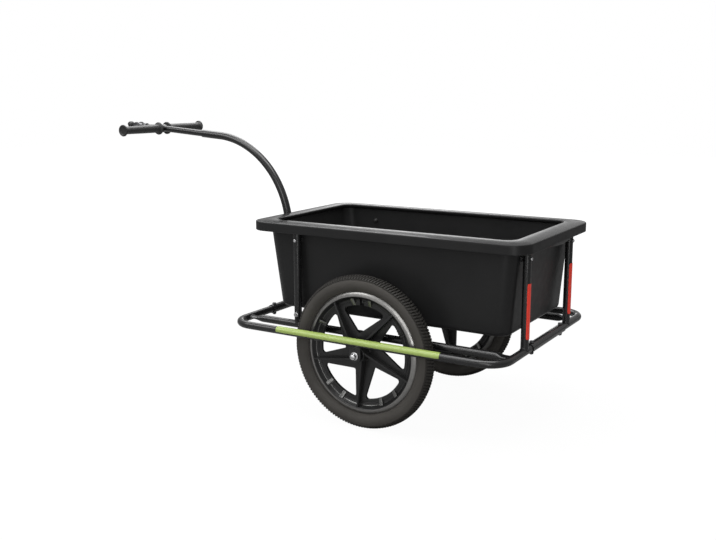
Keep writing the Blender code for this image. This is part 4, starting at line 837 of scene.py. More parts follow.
def build_bolts():
    for side, sign in SIDES:
        inwards = Vector((0.0, -sign, 0.0))
        for end in ("front", "rear"):
            node = "%s_%s_sleeve_bolt" % (end, side)
            spot = middle(node)
            spot.z = RAIL_Z + SLEEVE_RADIUS
            build_bolt(node, spot, Vector((0.0, 0.0, -1.0)), 2 * SLEEVE_RADIUS,
                       "%s_%s_coupling_bolt" % (end, side), slot="dark_steel")
        node = side + "_front_post_foot_bolt"
        spot = middle(node)
        spot.y = sign * (INNER_RAIL_Y + TUBE_RADIUS)
        build_bolt(node, spot, inwards, 2 * TUBE_RADIUS, side + "_foot_bolt")
        node = side + "_front_post_top_bolt"
        spot = middle(node)
        near, far = clamped(*off_middle(node))
        spot.y = sign * far
        build_bolt(node, spot, inwards, far - near, side + "_front_tub_bolt", True)
        node = side + "_rear_post_top_bolt"
        spot = middle(node)
        near, far = clamped(*reach(node, 0))
        spot.x = far
        build_bolt(node, spot, Vector((-1.0, 0.0, 0.0)), far - near, side + "_rear_tub_bolt", True)
    spot = middle("drawbar_bolt")
    spot.y = -SOCKET_RADIUS
    build_bolt("drawbar_bolt", spot, Vector((0.0, 1.0, 0.0)), 2 * SOCKET_RADIUS, "drawbar_cross_bolt")


def build_axles():
    for side, sign in SIDES:
        outwards = OUTWARDS[sign]
        node = side + "_axle_nut"
        near, far = off_middle(node)
        nut = hex_block(0.0086, far - near, 0.0009, 0.0105, 0.0026)
        dress(side + "_flange_nut", nut, node, at_axle(sign * near, outwards))
        node = side + "_axle_bolt"
        start, tip = off_middle(node)
        seat = start + AXLE_HEAD_HEIGHT
        head = hex_block(0.0092, AXLE_HEAD_HEIGHT, 0.0008)
        dress(side + "_axle_head", head, node, at_axle(sign * seat, OUTWARDS[-sign]))
        shank = rod(AXLE_RADIUS, far - seat)
        show(side + "_axle_shank", shank, node, None, at_axle(sign * seat, outwards))
        thread = screw_end(AXLE_RADIUS - 0.0001, tip - far)
        show(side + "_axle_thread", thread, node, None, at_axle(sign * far, outwards))
        for end in ("inboard", "outboard"):
            node = "%s_%s_spacer" % (side, end)
            near, far = off_middle(node)
            profile = round_profile(block(0.0053, 0.0085, 0.0, far - near), 0.0005)
            dress("%s_%s_collar" % (side, end), lathe(profile, closed=True), node,
                  at_axle(sign * near, outwards))


# Tub

def wall_inset(draft, z):
    """How far a drafted wall stands inside its top edge, at a height."""
    return draft * (RIM_Z - z) / TUB_DEPTH


def rounded_rectangle(front, rear, half_width, corner, z):
    """One level section, from the right rear corner round the nose to the tail's middle points."""
    points = []
    for x, sign, start in ((rear, 1, 0.0), (front, 1, 90.0), (front, -1, 180.0), (rear, -1, 270.0)):
        inward = corner if x == front else -corner
        centre = (x + inward, sign * (half_width - corner))
        points += arc(corner, start, start + 90.0, CORNER_STEPS, centre)
    tail = spaced(-FINGER_GRIP_HALF_WIDTH, FINGER_GRIP_HALF_WIDTH, FINGER_GRIP_POINTS - 1)
    return [Vector((x, y, z)) for x, y in points + [(rear, y) for y in tail]]


def body_section(inset, z):
    return rounded_rectangle(BODY_FRONT + wall_inset(FRONT_DRAFT, z) + inset,
                             BODY_REAR - wall_inset(REAR_DRAFT, z) - inset,
                             BODY_HALF_WIDTH - wall_inset(SIDE_DRAFT, z) - inset,
                             BODY_CORNER_RADIUS - inset, z)


def rim_section(inset, z, corner=None):
    corner = corner or RIM_CORNER_RADIUS - inset
    return rounded_rectangle(RIM_FRONT + inset, RIM_REAR - inset, RIM_HALF_WIDTH - inset, corner, z)


def mixed(one, other, share, z):
    return [Vector((a.x + (b.x - a.x) * share, a.y + (b.y - a.y) * share, z)) for a, b in zip(one, other)]


def flared(section, flare, dip):
    """Swell and lower the tail of a skirt's edge into a crescent for the fingers."""
    shaped = list(section)
    for i in range(FINGER_GRIP_POINTS):
        swell = sin(pi * i / (FINGER_GRIP_POINTS - 1)) ** 0.8
        shaped[i - FINGER_GRIP_POINTS] += Vector((flare * swell, 0.0, -dip * swell))
    return shaped


def quarter(steps):
    """The shares (1 - sine, 1 - cosine) through a quarter turn, to round an edge with."""
    return [(1 - sin(angle), 1 - cos(angle)) for angle in spaced(0.0, pi / 2, steps)]


def tub_rings():
    """Sections from the middle of the inner floor, over the rim, to the middle of the outer floor."""
    edge, soft = 0.0025, 0.0010
    skirt_z, under_z = RIM_Z - SKIRT_DEPTH, RIM_Z - TUB_WALL
    lip_z, brow_z = RIM_Z - LIP_DEPTH, RIM_Z - RIM_TOP_FALL
    inner_fillet = FLOOR_FILLET - TUB_WALL
    lip_foot = body_section(TUB_WALL, lip_z)
    lip_edge = rim_section(RIM_WIDTH, RIM_Z - edge, RIM_INNER_CORNER_RADIUS)
    rings = [body_section(TUB_WALL + inner_fillet * tuck, TUB_FLOOR_Z + TUB_WALL + inner_fillet * rise)
             for tuck, rise in quarter(6)]
    rings += [body_section(TUB_WALL, lip_z - 0.004), lip_foot]
    rings += [mixed(lip_foot, lip_edge, 1 - short, lip_z + (LIP_DEPTH - edge) * rise)
              for short, rise in quarter(6)[1:-1]]
    rings += [rim_section(RIM_WIDTH - edge * back, RIM_Z - edge * fall, RIM_INNER_CORNER_RADIUS + edge * back)
              for fall, back in quarter(4)]
    rings.append(rim_section(RIM_FLAT_INSET, RIM_Z, RIM_INNER_CORNER_RADIUS + 0.0080))
    rings += [rim_section(edge * inset, brow_z - edge * fall) for inset, fall in quarter(4)]
    for share in spaced(0.0, 1.0, 6)[1:-1]:
        z = brow_z - edge - (SKIRT_DEPTH - edge - RIM_TOP_FALL) * share
        rings.append(flared(rim_section(0.0, z), FINGER_GRIP_FLARE * share ** 7, FINGER_GRIP_DIP * share))
    for inset, lift in ((0.0, soft), (soft, 0.0), (TUB_WALL - soft, 0.0), (TUB_WALL, soft)):
        rings.append(flared(rim_section(inset, skirt_z + lift), FINGER_GRIP_FLARE, FINGER_GRIP_DIP))
    rings += [rim_section(TUB_WALL, under_z - soft), rim_section(TUB_WALL + soft, under_z)]
    rings += [body_section(-soft, under_z), body_section(0.0, under_z - soft)]
    rings += [body_section(FLOOR_FILLET * tuck, TUB_FLOOR_Z + FLOOR_FILLET * rise)
              for tuck, rise in reversed(quarter(8))]
    return rings


def build_tub():
    dress("tub_moulding", loft(tub_rings()), "tub")
    for side, sign in SIDES:
        spot = middle(side + "_front_post")
        boss(side + "_front_boss", SIDE_DRAFT,
             at(spot.x, sign * BODY_HALF_WIDTH, POST_BOLT_Z, OUTWARDS[sign]))
        spot = middle(side + "_rear_post")
        boss(side + "_rear_boss", REAR_DRAFT, at(BODY_REAR, spot.y, POST_BOLT_Z, ALONG_X))


def boss(name, draft, matrix):
    """The pad that carries a post's bolt on the drafted wall, with a soft root."""
    height = wall_inset(draft, POST_BOLT_Z)
    bore, outer, depth = 0.0032, BOLT_BOSS_RADIUS, height + TUB_WALL / 2
    profile = [(bore, -depth), (outer + 0.0025, -depth), (outer + 0.0006, 0.0004 - height), (outer, -0.0006),
               (outer - 0.0006, 0.0), (bore, 0.0)]
    show(name, lathe(profile, closed=True), "tub", None, matrix)


# Wheels. One spoke points straight down, which is -Y in the wheel's own frame.

SPOKE_ANGLES = [-90.0 + 360.0 * i / SPOKE_COUNT for i in range(SPOKE_COUNT)]
HALF_PITCH_DEG = 180.0 / SPOKE_COUNT


def unit_at(angle_deg):
    return Vector((cos(radians(angle_deg)), sin(radians(angle_deg))))


def spoke_edge(spoke_deg, side):
    """A point on one straight edge of a spoke, and the edge's outward direction.

    A spoke's middle line is tilted about the point where it crosses its own radius. Side is 1 for the
    edge that turns with the spoke angle and -1 for the other.
    """
    middle_deg = spoke_deg - SPOKE_TILT_DEG
    spot = unit_at(spoke_deg) * SPOKE_CROSSING_RADIUS
    spot += unit_at(middle_deg + 90.0) * (side * SPOKE_HALF_WIDTH)
    return spot, unit_at(middle_deg - side * SPOKE_TAPER_DEG)


def window_outline(middle_deg):
    """One opening between two spokes: two straight sides, an outer arc and three rounded corners."""
    inner_fillet, outer_fillet = 0.0050, 0.0070

    def corner_centre(spot, along, inward):
        """The centre of the arc that joins an edge to the outer arc."""
        start = spot + inward * outer_fillet
        drift = start.dot(along)
        room = WINDOW_RADIUS - outer_fillet
        return start + along * (sqrt(drift ** 2 + room ** 2 - start.length_squared) - drift)

    def heading(vector):
        return degrees(atan2(vector.y, vector.x))

    def bend(radius, start_deg, end_deg, centre, steps=8):
        return arc(radius, start_deg, start_deg + (end_deg - start_deg) % 360.0, steps, centre)

    spot_a, way_a = spoke_edge(middle_deg - HALF_PITCH_DEG, 1)
    spot_b, way_b = spoke_edge(middle_deg + HALF_PITCH_DEG, -1)
    inward_a, inward_b = Vector((-way_a.y, way_a.x)), Vector((way_b.y, -way_b.x))
    centre_a = corner_centre(spot_a, way_a, inward_a)
    centre_b = corner_centre(spot_b, way_b, inward_b)
    start_a, start_b = spot_a + inward_a * inner_fillet, spot_b + inward_b * inner_fillet
    nose = start_a + way_a * ((start_b - start_a).cross(way_b) / way_a.cross(way_b))
    from_b, to_a = heading(-inward_b), heading(-inward_a)
    swing_a, swing_b = heading(centre_a), heading(centre_b)
    return (bend(inner_fillet, from_b, to_a, nose) + bend(outer_fillet, to_a, swing_a, centre_a)
            + bend(WINDOW_RADIUS, swing_a, swing_b, (0.0, 0.0), 30)[1:-1]
            + bend(outer_fillet, swing_b, from_b, centre_b))


def rim_profile():
    """The rim's section: bed, flanges with a sloping outer face, and the wall down to the web."""
    top = BEAD_RADIUS + RIM_FLANGE_HEIGHT
    lip = BEAD_RADIUS - RIM_EDGE_DEPTH
    foot = BEAD_RADIUS - RIM_DEPTH
    half = [(BEAD_RADIUS, 0.0)] + mm((0, -0.8), (0.8, 0), radius=BEAD_RADIUS, height=RIM_BED_HALF)
    half += mm((-1.0, 0), (-0.2, 0.4), radius=top, height=RIM_MOUTH_HALF)
    half += mm((-0.3, 11.0), (-1.2, 11.7), (-3.5, 13.1), (-6.0, 14.3), (-8.5, 15.1), radius=top)
    half += mm((2.2, 0), (1.0, 0), (0.2, -0.6), (-0.4, -1.8), radius=lip, height=RIM_EDGE_HALF)
    half += mm((1.2, 6.6), (0.2, 5.4), (-0.8, 4.9), (-3.0, 4.7), (-3.6, 4.2), (-3.6, 0), radius=foot)
    return mirrored(half)


def hub_profile():
    """The hub's barrel with a flared root, and its bore with a seat for each bearing."""
    end = HUB_LENGTH / 2
    seat = end - BEARING_SEAT_DEPTH
    return mirrored([(HUB_BORE_RADIUS, 0.0), (HUB_BORE_RADIUS, seat), (BEARING_SEAT_RADIUS, seat),
                     (BEARING_SEAT_RADIUS, end - 0.0005), (BEARING_SEAT_RADIUS + 0.0005, end)]
                    + mm((-4.2, 0), (-3.0, -1.0), radius=HUB_RADIUS, height=end)
                    + mm((0, 6.0), (3.0, 3.0), (3.0, 0), radius=HUB_RADIUS))


def fin_mesh(offset):
    """The raised fin across one spoke, from the hub to the rim."""
    hub_end, rim_end = HUB_LENGTH / 2 - 0.0030, RIM_EDGE_HALF - 0.0009
    inner = sqrt((HUB_RADIUS - 0.0040) ** 2 - offset ** 2)
    outer = sqrt((BEAD_RADIUS - RIM_EDGE_DEPTH + 0.0020) ** 2 - offset ** 2)
    outline = [(inner, -hub_end), (outer, -rim_end), (outer, rim_end), (inner, hub_end)]
    return outline_plate(outline, [], FIN_THICKNESS, 0.0015)


def tab_mesh():
    """A reinforcing tab that slopes from the web up to the rim, on both faces."""
    inner, outer = WINDOW_RADIUS + 0.0008, BEAD_RADIUS - RIM_DEPTH + 0.0035
    low, high = WEB_THICKNESS / 2, WEB_THICKNESS / 2 + TAB_STAND
    outline = [(inner, -low), (outer, -high), (outer, high), (inner, low)]
    return outline_plate(outline, [], TAB_THICKNESS, 0.0004)


def casting_mesh():
    """Rim, web, hub, rib, fins and tabs in one, less the valve's pocket and hole."""
    rim = lathe(rim_profile(), WHEEL_STEPS, closed=True)
    web_edge = circle(BEAD_RADIUS - RIM_DEPTH + 0.0030, WHEEL_STEPS)
    windows = [window_outline(angle + HALF_PITCH_DEG) for angle in SPOKE_ANGLES]
    web = outline_plate(web_edge, windows + [circle(0.0170, 48)], WEB_THICKNESS, 0.0009)
    hub = lathe(hub_profile(), HUB_STEPS, closed=True)
    rib_radius, rib_top = WINDOW_RADIUS + 0.0088, WEB_THICKNESS / 2 + WEB_RIB_STAND
    rib = mirrored(mm((-0.6, 0), radius=rib_radius)
                   + mm((-0.5, -0.3), (0, 0), (0.5, -0.3), radius=rib_radius, height=rib_top)
                   + mm((0.6, 0), radius=rib_radius))
    others = [(web, UPRIGHT), (hub, UPRIGHT), (lathe(rib, WHEEL_STEPS, closed=True), UPRIGHT)]
    offset = SPOKE_CROSSING_RADIUS * sin(radians(SPOKE_TILT_DEG))
    fin, tab = fin_mesh(offset), tab_mesh()
    for angle in SPOKE_ANGLES:
        others.append((fin, turned(angle - SPOKE_TILT_DEG) @ at(0.0, offset, 0.0, AGAINST_Y)))
        for sign in (-1, 1):
            others.append((tab, turned(angle + HALF_PITCH_DEG + sign * TAB_ANGLE_DEG) @ AGAINST_Y))
    wide, deep = VALVE_POCKET_WIDTH / 2, 0.0115
    pocket = loft([[(wide, deep, z), (-wide, deep, z), (-wide, -deep, z), (wide, -deep, z)]
                   for z in (-HUB_LENGTH / 2, HUB_LENGTH / 2)])
    hole = rod(VALVE_HOLE_RADIUS, 0.045, THREAD_STEPS)
    cutters = [(pocket, at(0.0, WINDOW_RADIUS + 0.0075, 0.0)),
               (hole, at(0.0, BEAD_RADIUS - 0.030, 0.0, ALONG_Y))]
    return combined((rim, UPRIGHT), others, cutters)


def turned(angle_deg):
    return Matrix.Rotation(radians(angle_deg), 4, "Z")


def paint_light_on_faces(mesh):
    """Gives the rim's outer faces a grey metal finish as painted reflection, the light band on the black
    plastic, and the tabs' slopes a grey metal finish as painted highlight.
    """
    mesh.materials.append(MATERIALS["rim_face"])
    mesh.materials.append(MATERIALS["tab_face"])
    rim_inner, rim_outer = BEAD_RADIUS - RIM_EDGE_DEPTH + 0.0018, BEAD_RADIUS + RIM_FLANGE_HEIGHT + 0.0001
    tab_inner, tab_outer = WINDOW_RADIUS + 0.0004, BEAD_RADIUS - RIM_DEPTH + 0.0020
    tab_foot = WEB_THICKNESS / 2 + 0.0014
    for face in mesh.polygons:
        radius, height = hypot(face.center.x, face.center.y), abs(face.center.z)
        slope = -(face.normal.x * face.center.x + face.normal.y * face.center.y) / radius
        steep = abs(face.normal.z) > 0.35
        # Painted reflection: the steep faces of the rim's outer band take the grey metal rim material
        if steep and rim_inner < radius < rim_outer and height > 0.0108:
            face.material_index = 1
        # Painted highlight: tab slopes that face inwards take the grey metal tab material
        elif steep and slope > 0.25 and tab_inner < radius < tab_outer and height > tab_foot:
            face.material_index = 2


def tyre_columns():
    """The tyre's closed section as (radius, place across, tread share).

    Tread share is how far the grooves between blocks cut there.
    """
    side = mm((0.3, 9.2), (3.9, 9.6), (6.3, 10.9), (7.0, 12.6), (8.2, 14.6), (10.5, 17.2), (14.0, 20.2),
              (18.5, 22.5), (23.5, 23.4), (28.5, 23.0), (33.0, 21.7), (35.4, 20.6), (35.9, 19.0),
              (36.8, 18.0), (38.0, 18.4), radius=BEAD_RADIUS)
    tread = mm((38.6, 19.4), (42.0, 16.2), radius=BEAD_RADIUS)
    tread += mm((-3.0, 12.6), (-4.6, 11.9), (-4.4, 11.2), (-3.6, 10.6), (-2.8, 6.2), (-3.2, 5.4),
                (-1.7, 4.7), (-0.3, 4.1), (0, 0), radius=AXLE.z)
    inner = mm((0.3, 5.7), (12.0, 14.2), (23.5, 19.8), (34.0, 16.5), radius=BEAD_RADIUS)
    inner += mm((-6.3, 9.0), (-6.0, 0), radius=AXLE.z)
    half = [(r, z, 0) for r, z in side] + [(r, z, 1) for r, z in tread]
    outside = half + [(r, -z, cut) for r, z, cut in reversed(half[:-1])]
    return outside + [(r, -z, 0) for r, z in inner] + [(r, z, 0) for r, z in reversed(inner[:-1])]


def tyre_mesh():
    columns = tyre_columns()
    pitch = 2 * pi / TREAD_BLOCKS
    lean = tan(radians(TREAD_LEAN_DEG)) / AXLE.z
    rings = []
    for block_index in range(TREAD_BLOCKS):
        for phase, sunk in TREAD_PHASES:
            ring = []
            for radius, z, cut in columns:
                angle = (block_index + phase) * pitch - cut * (TREAD_EDGE - abs(z)) * lean
                r = radius - TREAD_DEPTH * sunk * cut
                ring.append((r * cos(angle), r * sin(angle), z))
            rings.append(ring)
    return skin(rings, closed=True, smooth_below_deg=SMOOTH_TREAD_BELOW_DEG)


def build_wheels():
    casting = casting_mesh()
    tyre = tyre_mesh()
    for side, sign in SIDES:
        turn = AGAINST_Y if sign < 0 else turned(180.0) @ AGAINST_Y
        spot = at_axle(sign * WHEEL_Y, turn)
        wheel = dress(side + "_wheel", casting.copy(), side + "_wheel_casting", spot)
        paint_light_on_faces(wheel.data)
        dress(side + "_treaded_tyre", tyre.copy(), side + "_tyre", spot)


# Drawbar, handle and hitch

def build_drawbar():
    lean, rise = radians(DRAWBAR_LEAN_DEG), radians(DRAWBAR_RISE_DEG)
    span_x, span_z = FRONT_X - HANDLE.x, HANDLE.z - RAIL_Z
    direction = Vector((-sin(lean), 0.0, cos(lean)))
    root = Vector((FRONT_X, 0.0, RAIL_Z))
    corner = root + direction * ((span_z * cos(rise) - span_x * sin(rise)) / cos(lean + rise))
    end = HANDLE + Vector((cos(rise), 0.0, -sin(rise))) * STEM_VISIBLE
    path = rounded_path([root + direction * (SLEEVE_RADIUS + 0.0022), corner, end], DRAWBAR_BEND_RADIUS,
                        DRAWBAR_BEND_STEPS)
    dress("swept_bar", swept_tube(path, DRAWBAR_RADIUS, TUBE_WALL), "drawbar")
    inner, low = DRAWBAR_RADIUS + 0.0005, SLEEVE_RADIUS * 0.86
    profile = [(inner, low), (SOCKET_RADIUS, low), (SOCKET_RADIUS, SOCKET_TOP - 0.0120)]
    profile += mm((1.2, -11.0), (1.2, -1.0), (0.2, 0), radius=SOCKET_RADIUS, height=SOCKET_TOP)
    profile.append((inner, SOCKET_TOP))
    turn = direction.to_track_quat("Z", "Y").to_matrix().to_4x4()
    dress("bar_socket", lathe(profile, closed=True), "drawbar_socket", at(*root, turn))
    path = []
    for x, y in circle(SOCKET_RADIUS + 0.0003, SMALL_STEPS):
        seat = sqrt(SLEEVE_RADIUS ** 2 - min(abs(x), SLEEVE_RADIUS) ** 2)
        path.append(root + Vector((x * 0.93, y, seat + 0.0006)))
    weld_bead("socket_weld", path, "drawbar_socket", SOCKET_WELD_RADIUS)


def build_tee():
    bore = HANDLE_TUBE_RADIUS - TUBE_WALL
    cross = lathe(block(bore, HANDLE_TUBE_RADIUS, *reach("handle_tee", 1)), closed=True)
    hub_half = off_middle("right_grip")[0] - GAP
    hub = round_profile(block(bore, TEE_HUB_RADIUS, -hub_half, hub_half), 0.0012)
    length, inside = STEM_VISIBLE + 0.0400, STEM_RADIUS - TUBE_WALL
    stem = [(STEM_RADIUS, 0.0)] + mm((0, -0.8), (-0.8, 0), radius=STEM_RADIUS, height=length)
    stem += [(inside, length), (inside, 0.0)]
    length = HANDLE.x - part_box("handle_tee")[0].x
    stub = [(0.0, 0.0), (STUB_RADIUS, 0.0)] + mm((0, -0.6), (-0.6, 0), radius=STUB_RADIUS, height=length)
    stub += mm((9.2, 0), (9.2, -30.0), (0, -30.0), height=length)
    stem_turn = Matrix.Rotation(pi / 2 + radians(DRAWBAR_RISE_DEG), 4, "Y")
    mesh = combined((cross, ALONG_Y), [(lathe(hub, closed=True), ALONG_Y),
                                       (lathe(stem, closed=True), stem_turn),
                                       (lathe(stub), AGAINST_X)])
    dress("tee_handle", mesh, "handle_tee", at(*HANDLE))


def grip_profile(inner, outer):
    """A grip's section: rounded flanges, a gentle taper between them and a dished end."""
    bore = HANDLE_TUBE_RADIUS + GAP
    hand = mm((0, -1.8), (6.0, -1.8), (11.8, -1.5), (12.8, -1.0), (13.8, -0.2), (15.0, 0), (16.6, -0.6),
              (17.3, -2.0), (17.3, -3.6), (16.6, -4.8), (15.0, -5.6), (12.4, -7.45), (11.5, -9.5),
              (11.6, -30.0), height=outer)
    hand.append((0.0122, (inner + outer) / 2))
    hand += mm((12.5, 30.0), (12.6, 10.0), (13.6, 6.75), (16.5, 5.6), (18.3, 4.6), (19.0, 3.4), (19.0, 1.4),
               (18.3, 0.3), (17.2, 0), height=inner)
    return hand + [(bore, inner), (bore, outer - 0.0068), (0.0, outer - 0.0068)]


def build_grips():
    for side, sign in SIDES:
        node = side + "_grip"
        mesh = lathe(grip_profile(*off_middle(node)), KNOB_STEPS)
        dress(side + "_hand_grip", mesh, node, at(HANDLE.x, 0.0, HANDLE.z, OUTWARDS[sign]))


def build_swivel():
    low, high = reach("swivel_nut", 0)
    bore = STUB_RADIUS + GAP
    collar = mm((6.6, 0), (10.5, 0), (12.8, -0.6), (14.2, -2.4), (14.8, -4.0), (14.8, -6.8), (13.8, -7.4),
                (13.8, -8.4), (14.8, -9.0), height=high - low)
    collar += mm((14.8, 1.4), (13.8, 0)) + [(bore, 0.0), (bore, 0.0075), (0.0066, 0.0075)]
    dress("swivel_collar", lathe(collar, KNOB_STEPS, closed=True), "swivel_nut",
          at(high, 0.0, HANDLE.z, AGAINST_X))

    eye = round_profile(block(0.0043, EYE_RADIUS, -0.0080, 0.0080), 0.0016)
    head_end = PITCH.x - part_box("swivel_shaft")[1].x
    shaft = mm((0, 0), (8.0, 0), (8.5, 0.5), (8.5, 5.0), (6.0, 5.0), height=head_end)
    shaft += mm((6.0, -12.0), (0, -12.0))
    mesh = combined((lathe(eye, KNOB_STEPS, closed=True), ALONG_Y), [(lathe(shaft), AGAINST_X)])
    dress("swivel_eye", mesh, "swivel_shaft", at(*PITCH))

    end = reach("pitch_pin", 1)[0]
    head = mm((0, 0), (4.8, 0), (6.2, 0.6), (7.0, 1.8), (7.0, 3.0), (4.0, 3.0), height=end)
    pin = head + [(r, -z) for r, z in reversed(head)]
    dress("pitch_rivet", lathe(pin), "pitch_pin", at(PITCH.x, 0.0, PITCH.z, ALONG_Y))


def build_fork():
    """The jaw, a channel that opens forwards, and two cheeks round the pitch pin, the origin here."""
    low, high = (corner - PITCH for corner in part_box("hitch_fork"))
    wall, top, rear, tip = JAW_WALL, -JAW_TOP_DROP, -EYE_RADIUS - 0.0035, low.x
    bottom = top - 2 * wall - JAW_OPENING
    corners = ((rear, top), (rear, bottom), (tip, bottom), (tip, bottom + wall), (rear - wall, bottom + wall),
               (rear - wall, top - wall), (tip, top - wall), (tip, top))
    path = [Vector((x, z, 0.0)) for x, z in corners]
    outline = [path[0]]
    for i, radius in enumerate((0.0030, 0.0012, 0.0012, 0.0016, 0.0016, 0.0012, 0.0012), 1):
        outline += fillet(path[i - 1], path[i], path[(i + 1) % len(path)], radius, 4)
    jaw = outline_plate(outline, [], 2 * high.y, 0.0008)
    cheek = arc(high.x, 130.0, -130.0, 40) + [(rear - wall / 2, bottom), (rear - wall / 2, top)]
    cheek = outline_plate(cheek, [circle(PIN_HOLE_RADIUS, HOLE_STEPS)], wall, 0.0007)
    cheeks = [(cheek, at(0.0, sign * (high.y - wall / 2), 0.0, AGAINST_Y)) for _, sign in SIDES]
    hole = rod(PIN_HOLE_RADIUS, 0.04, HOLE_STEPS, -0.02)
    cutter = (hole, at(HITCH_PIN_X - PITCH.x, 0.0, (top + bottom) / 2))
    mesh = combined((jaw, AGAINST_Y), cheeks, [cutter])
    dress("hitch_jaw", mesh, "hitch_fork", at(*PITCH))


def build_hitch_pin():
    jaw_top = PITCH.z - JAW_TOP_DROP
    foot, head = (z - jaw_top for z in reach("hitch_pin", 2))
    pin = mm((0, 0), (2.4, 0), (4.0, 1.6), height=foot)
    pin += mm((4.0, 0), (9.0, 0), (9.5, 0.6), (9.5, 2.6), (8.8, 3.4), (8.0, 3.6), (3.0, 3.6), height=GAP)
    pin += mm((3.0, 0), (0, 0), height=head)
    dress("lift_pin", lathe(pin), "hitch_pin", at(HITCH_PIN_X, 0.0, jaw_top))
    low, high = reach("hitch_pin_knob", 2)
    knob = mm((0, 0), (3.0, -0.2), (5.8, -1.1), (8.0, -2.6), (9.7, -4.6), (10.7, -6.8), (11.0, -8.8),
              (10.7, -11.0), (9.8, -13.2), (9.0, -14.8), height=high - low)
    knob += mm((8.8, 0), (3.5, 0), (3.5, 10.3), (0, 10.3))
    dress("lift_knob", lathe(knob, KNOB_STEPS), "hitch_pin_knob", at(HITCH_PIN_X, 0.0, low))


# Strips

def strip_mesh(low, high, steps, start_deg, end_deg, corner_deg, point):
    """A thin band on a tube, with rounded corners. Point turns a place along and off the tube into a spot."""
    inner = TUBE_RADIUS + GAP
    rings = []
    for along in spaced(low, high, steps):
        trim = corner_deg * (1 - min(min(along - low, high - along) / STRIP_CORNER, 1.0)) ** 2
        angles = [radians(angle) for angle in spaced(start_deg + trim, end_deg - trim, 20)]
        band = [(inner + STRIP_THICKNESS, a) for a in angles] + [(inner, a) for a in reversed(angles)]
        rings.append([point(along, r * cos(a), r * sin(a)) for r, a in band])
    return loft(rings)


def build_strips():
    for side, sign in SIDES:
        node = side + "_lime_strip"
        mesh = strip_mesh(*reach(node, 0), LIME_STRIP_STEPS, -13.0, 100.0, 6.0,
                          lambda x, out, up: (x, sign * (OUTER_RAIL_Y + out), RAIL_Z + up))
        dress(side + "_lime_band", mesh, node)
        node = side + "_red_strip"
        post = middle(side + "_rear_post")
        mesh = strip_mesh(*reach(node, 2), RED_STRIP_STEPS, -57.0, 57.0, 8.0,
                          lambda z, back, across: (post.x + back, post.y + across, z))
        dress(side + "_red_band", mesh, node)


# Studio

def new_tree(owner):
    owner.use_nodes = True
    owner.node_tree.nodes.clear()
    return owner.node_tree


def mixed_shader(tree, share, one, other):
    return add_node(tree, "MixShader", {"Fac": share, 1: one, 2: other}).outputs["Shader"]


def backdrop(tree, level, strength):
    inputs = {"Color": (level, level, level, 1.0), "Strength": strength}
    return add_node(tree, "Background", inputs).outputs["Background"]


def horizon(tree, direction):
    """The light that reflections show: a low band that glows in places, and a faint ceiling."""
    def band(low, high, start_deg, end_deg):
        return spread(tree, direction["Z"], low, high, sin(radians(start_deg)), sin(radians(end_deg)))

    around = add_node(tree, "ValToRGB", {"Fac": spread(tree, direction["X"], 0.0, 1.0, -1.0, 1.0)})
    stops = around.color_ramp.elements
    stops[0].position, stops[1].position = HORIZON_STOPS[0][0], HORIZON_STOPS[-1][0]
    for position, _ in HORIZON_STOPS[1:-1]:
        stops.new(position)
    for stop, (_, level) in zip(stops, HORIZON_STOPS):
        stop.color = (level, level, level, 1.0)
    height = worked(tree, "MULTIPLY", band(0.0, 1.0, -1.0, 5.0), band(1.0, 0.0, 11.0, 15.5))
    glow = worked(tree, "MULTIPLY", height, around.outputs["Color"])
    return worked(tree, "ADD", spread(tree, glow, *REFLECTION_LEVELS), band(0.0, CEILING_LEVEL, 12.5, 24.0))


def build_world():
    """White for the camera, grey for soft light, and the horizon for reflections."""
    world = bpy.data.worlds.new("studio")
    bpy.context.scene.world = world
    tree = new_tree(world)
    around = add_node(tree, "TexCoord", {}).outputs["Generated"]
    direction = add_node(tree, "SeparateXYZ", {0: around}).outputs
    ray = add_node(tree, "LightPath", {}).outputs
    reflected = backdrop(tree, 0.8, horizon(tree, direction))
    unseen = mixed_shader(tree, ray["Is Glossy Ray"], backdrop(tree, 1.0, AMBIENT_LEVEL), reflected)
    white = backdrop(tree, 1.0, 1.0)
    add_node(tree, "OutputWorld", {"Surface": mixed_shader(tree, ray["Is Camera Ray"], unseen, white)})


def build_floor():
    """A pale floor that takes shadows, and that fades into the white with distance for the camera."""
    half = FLOOR_HALF_SIZE
    mesh = bpy.data.meshes.new("floor")
    mesh.from_pydata([(-half, -half, 0.0), (half, -half, 0.0), (half, half, 0.0), (-half, half, 0.0)], [],
                     [(0, 1, 2, 3)])
    floor = new_object("floor", mesh)
    material = bpy.data.materials.new("pale_floor")
    tree = new_tree(material)
    matt = add_node(tree, "BsdfDiffuse", {"Color": (FLOOR_TONE, FLOOR_TONE, FLOOR_TONE, 1.0)}).outputs["BSDF"]
    glow = add_node(tree, "Emission", {"Strength": FLOOR_GLOW}).outputs["Emission"]
    away = spread(tree, distance_out(tree, place(tree)), 0.86, 1.0, *FLOOR_FADE)
    share = worked(tree, "MULTIPLY", add_node(tree, "LightPath", {}).outputs["Is Camera Ray"], away)
    add_node(tree, "OutputMaterial", {"Surface": mixed_shader(tree, share, matt, glow)})
    mesh.materials.append(material)


def add_lamp(name, place_at, aim, size, power):
    data = bpy.data.lights.new(name, "AREA")
    data.shape = "RECTANGLE"
    data.size, data.size_y = size
    data.energy = power
    lamp = new_object(name, data)
    lamp.location = place_at
    lamp.rotation_euler = (Vector(aim) - Vector(place_at)).to_track_quat("-Z", "Y").to_euler()
    lamp.visible_camera = False


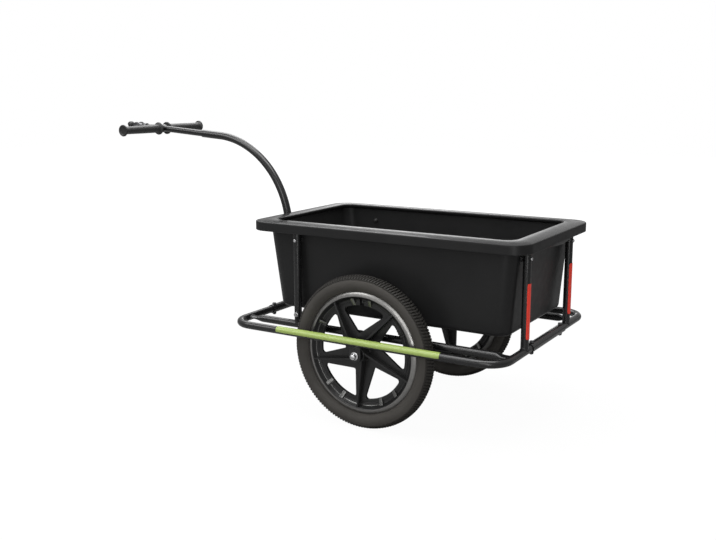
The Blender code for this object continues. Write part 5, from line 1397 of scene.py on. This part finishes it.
def build_lamps():
    add_lamp("key", (-1.9, -2.4, 2.9), (0.1, 0.0, 0.35), (2.2, 1.4), 40.0)
    add_lamp("top", (0.3, -0.5, 3.2), (0.1, 0.0, 0.3), (3.0, 2.0), 80.0)
    add_lamp("low", (2.1, -2.9, 0.34), (0.4, -0.2, 0.34), (0.9, 0.6), 10.0)
    add_lamp("front", (1.05, -2.95, 1.45), (0.3, -0.2, 0.35), (1.6, 1.2), 15.0)
    add_lamp("handle", (-0.95, 0.75, 1.75), (HANDLE.x, 0.05, HANDLE.z), (1.5, 1.3), 18.0)


def build_camera():
    azimuth, elevation, roll = map(radians, (VIEW_AZIMUTH_DEG, VIEW_ELEVATION_DEG, VIEW_ROLL_DEG))
    back = Vector((sin(azimuth) * cos(elevation), -cos(azimuth) * cos(elevation), sin(elevation)))
    right = Vector((cos(azimuth), sin(azimuth), 0.0))
    up = back.cross(right)
    right, up = right * cos(roll) + up * sin(roll), up * cos(roll) - right * sin(roll)
    data = bpy.data.cameras.new("camera")
    data.sensor_width = SENSOR_WIDTH_MM
    data.lens = FOCAL_LENGTH_PX / FRAME_WIDTH_PX * SENSOR_WIDTH_MM
    data.clip_start, data.clip_end = 0.05, 60.0
    camera = new_object("camera", data)
    spot = Vector((AXLE.x, 0.0, 0.0)) + Vector(CAMERA_FROM_AXLE)
    camera.matrix_world = Matrix.Translation(spot) @ Matrix((right, up, back)).transposed().to_4x4()
    bpy.context.scene.camera = camera


def finish_cad_nodes():
    """Give each CAD node that still shows its procedural finish."""
    for name, node in NODES.items():
        node.data.materials.clear()
        node.data.materials.append(MATERIALS[FINISH_OF[name]])


bpy.context.scene.view_settings.view_transform = "Standard"
for build in (finish_cad_nodes, build_outer_rails, build_inner_rails, build_sleeves, build_posts,
              build_dropouts, build_bolts, build_axles, build_tub, build_wheels, build_drawbar, build_tee,
              build_grips, build_swivel, build_fork, build_hitch_pin, build_strips, build_world,
              build_floor, build_lamps, build_camera):
    build()
bpy.context.view_layer.update()
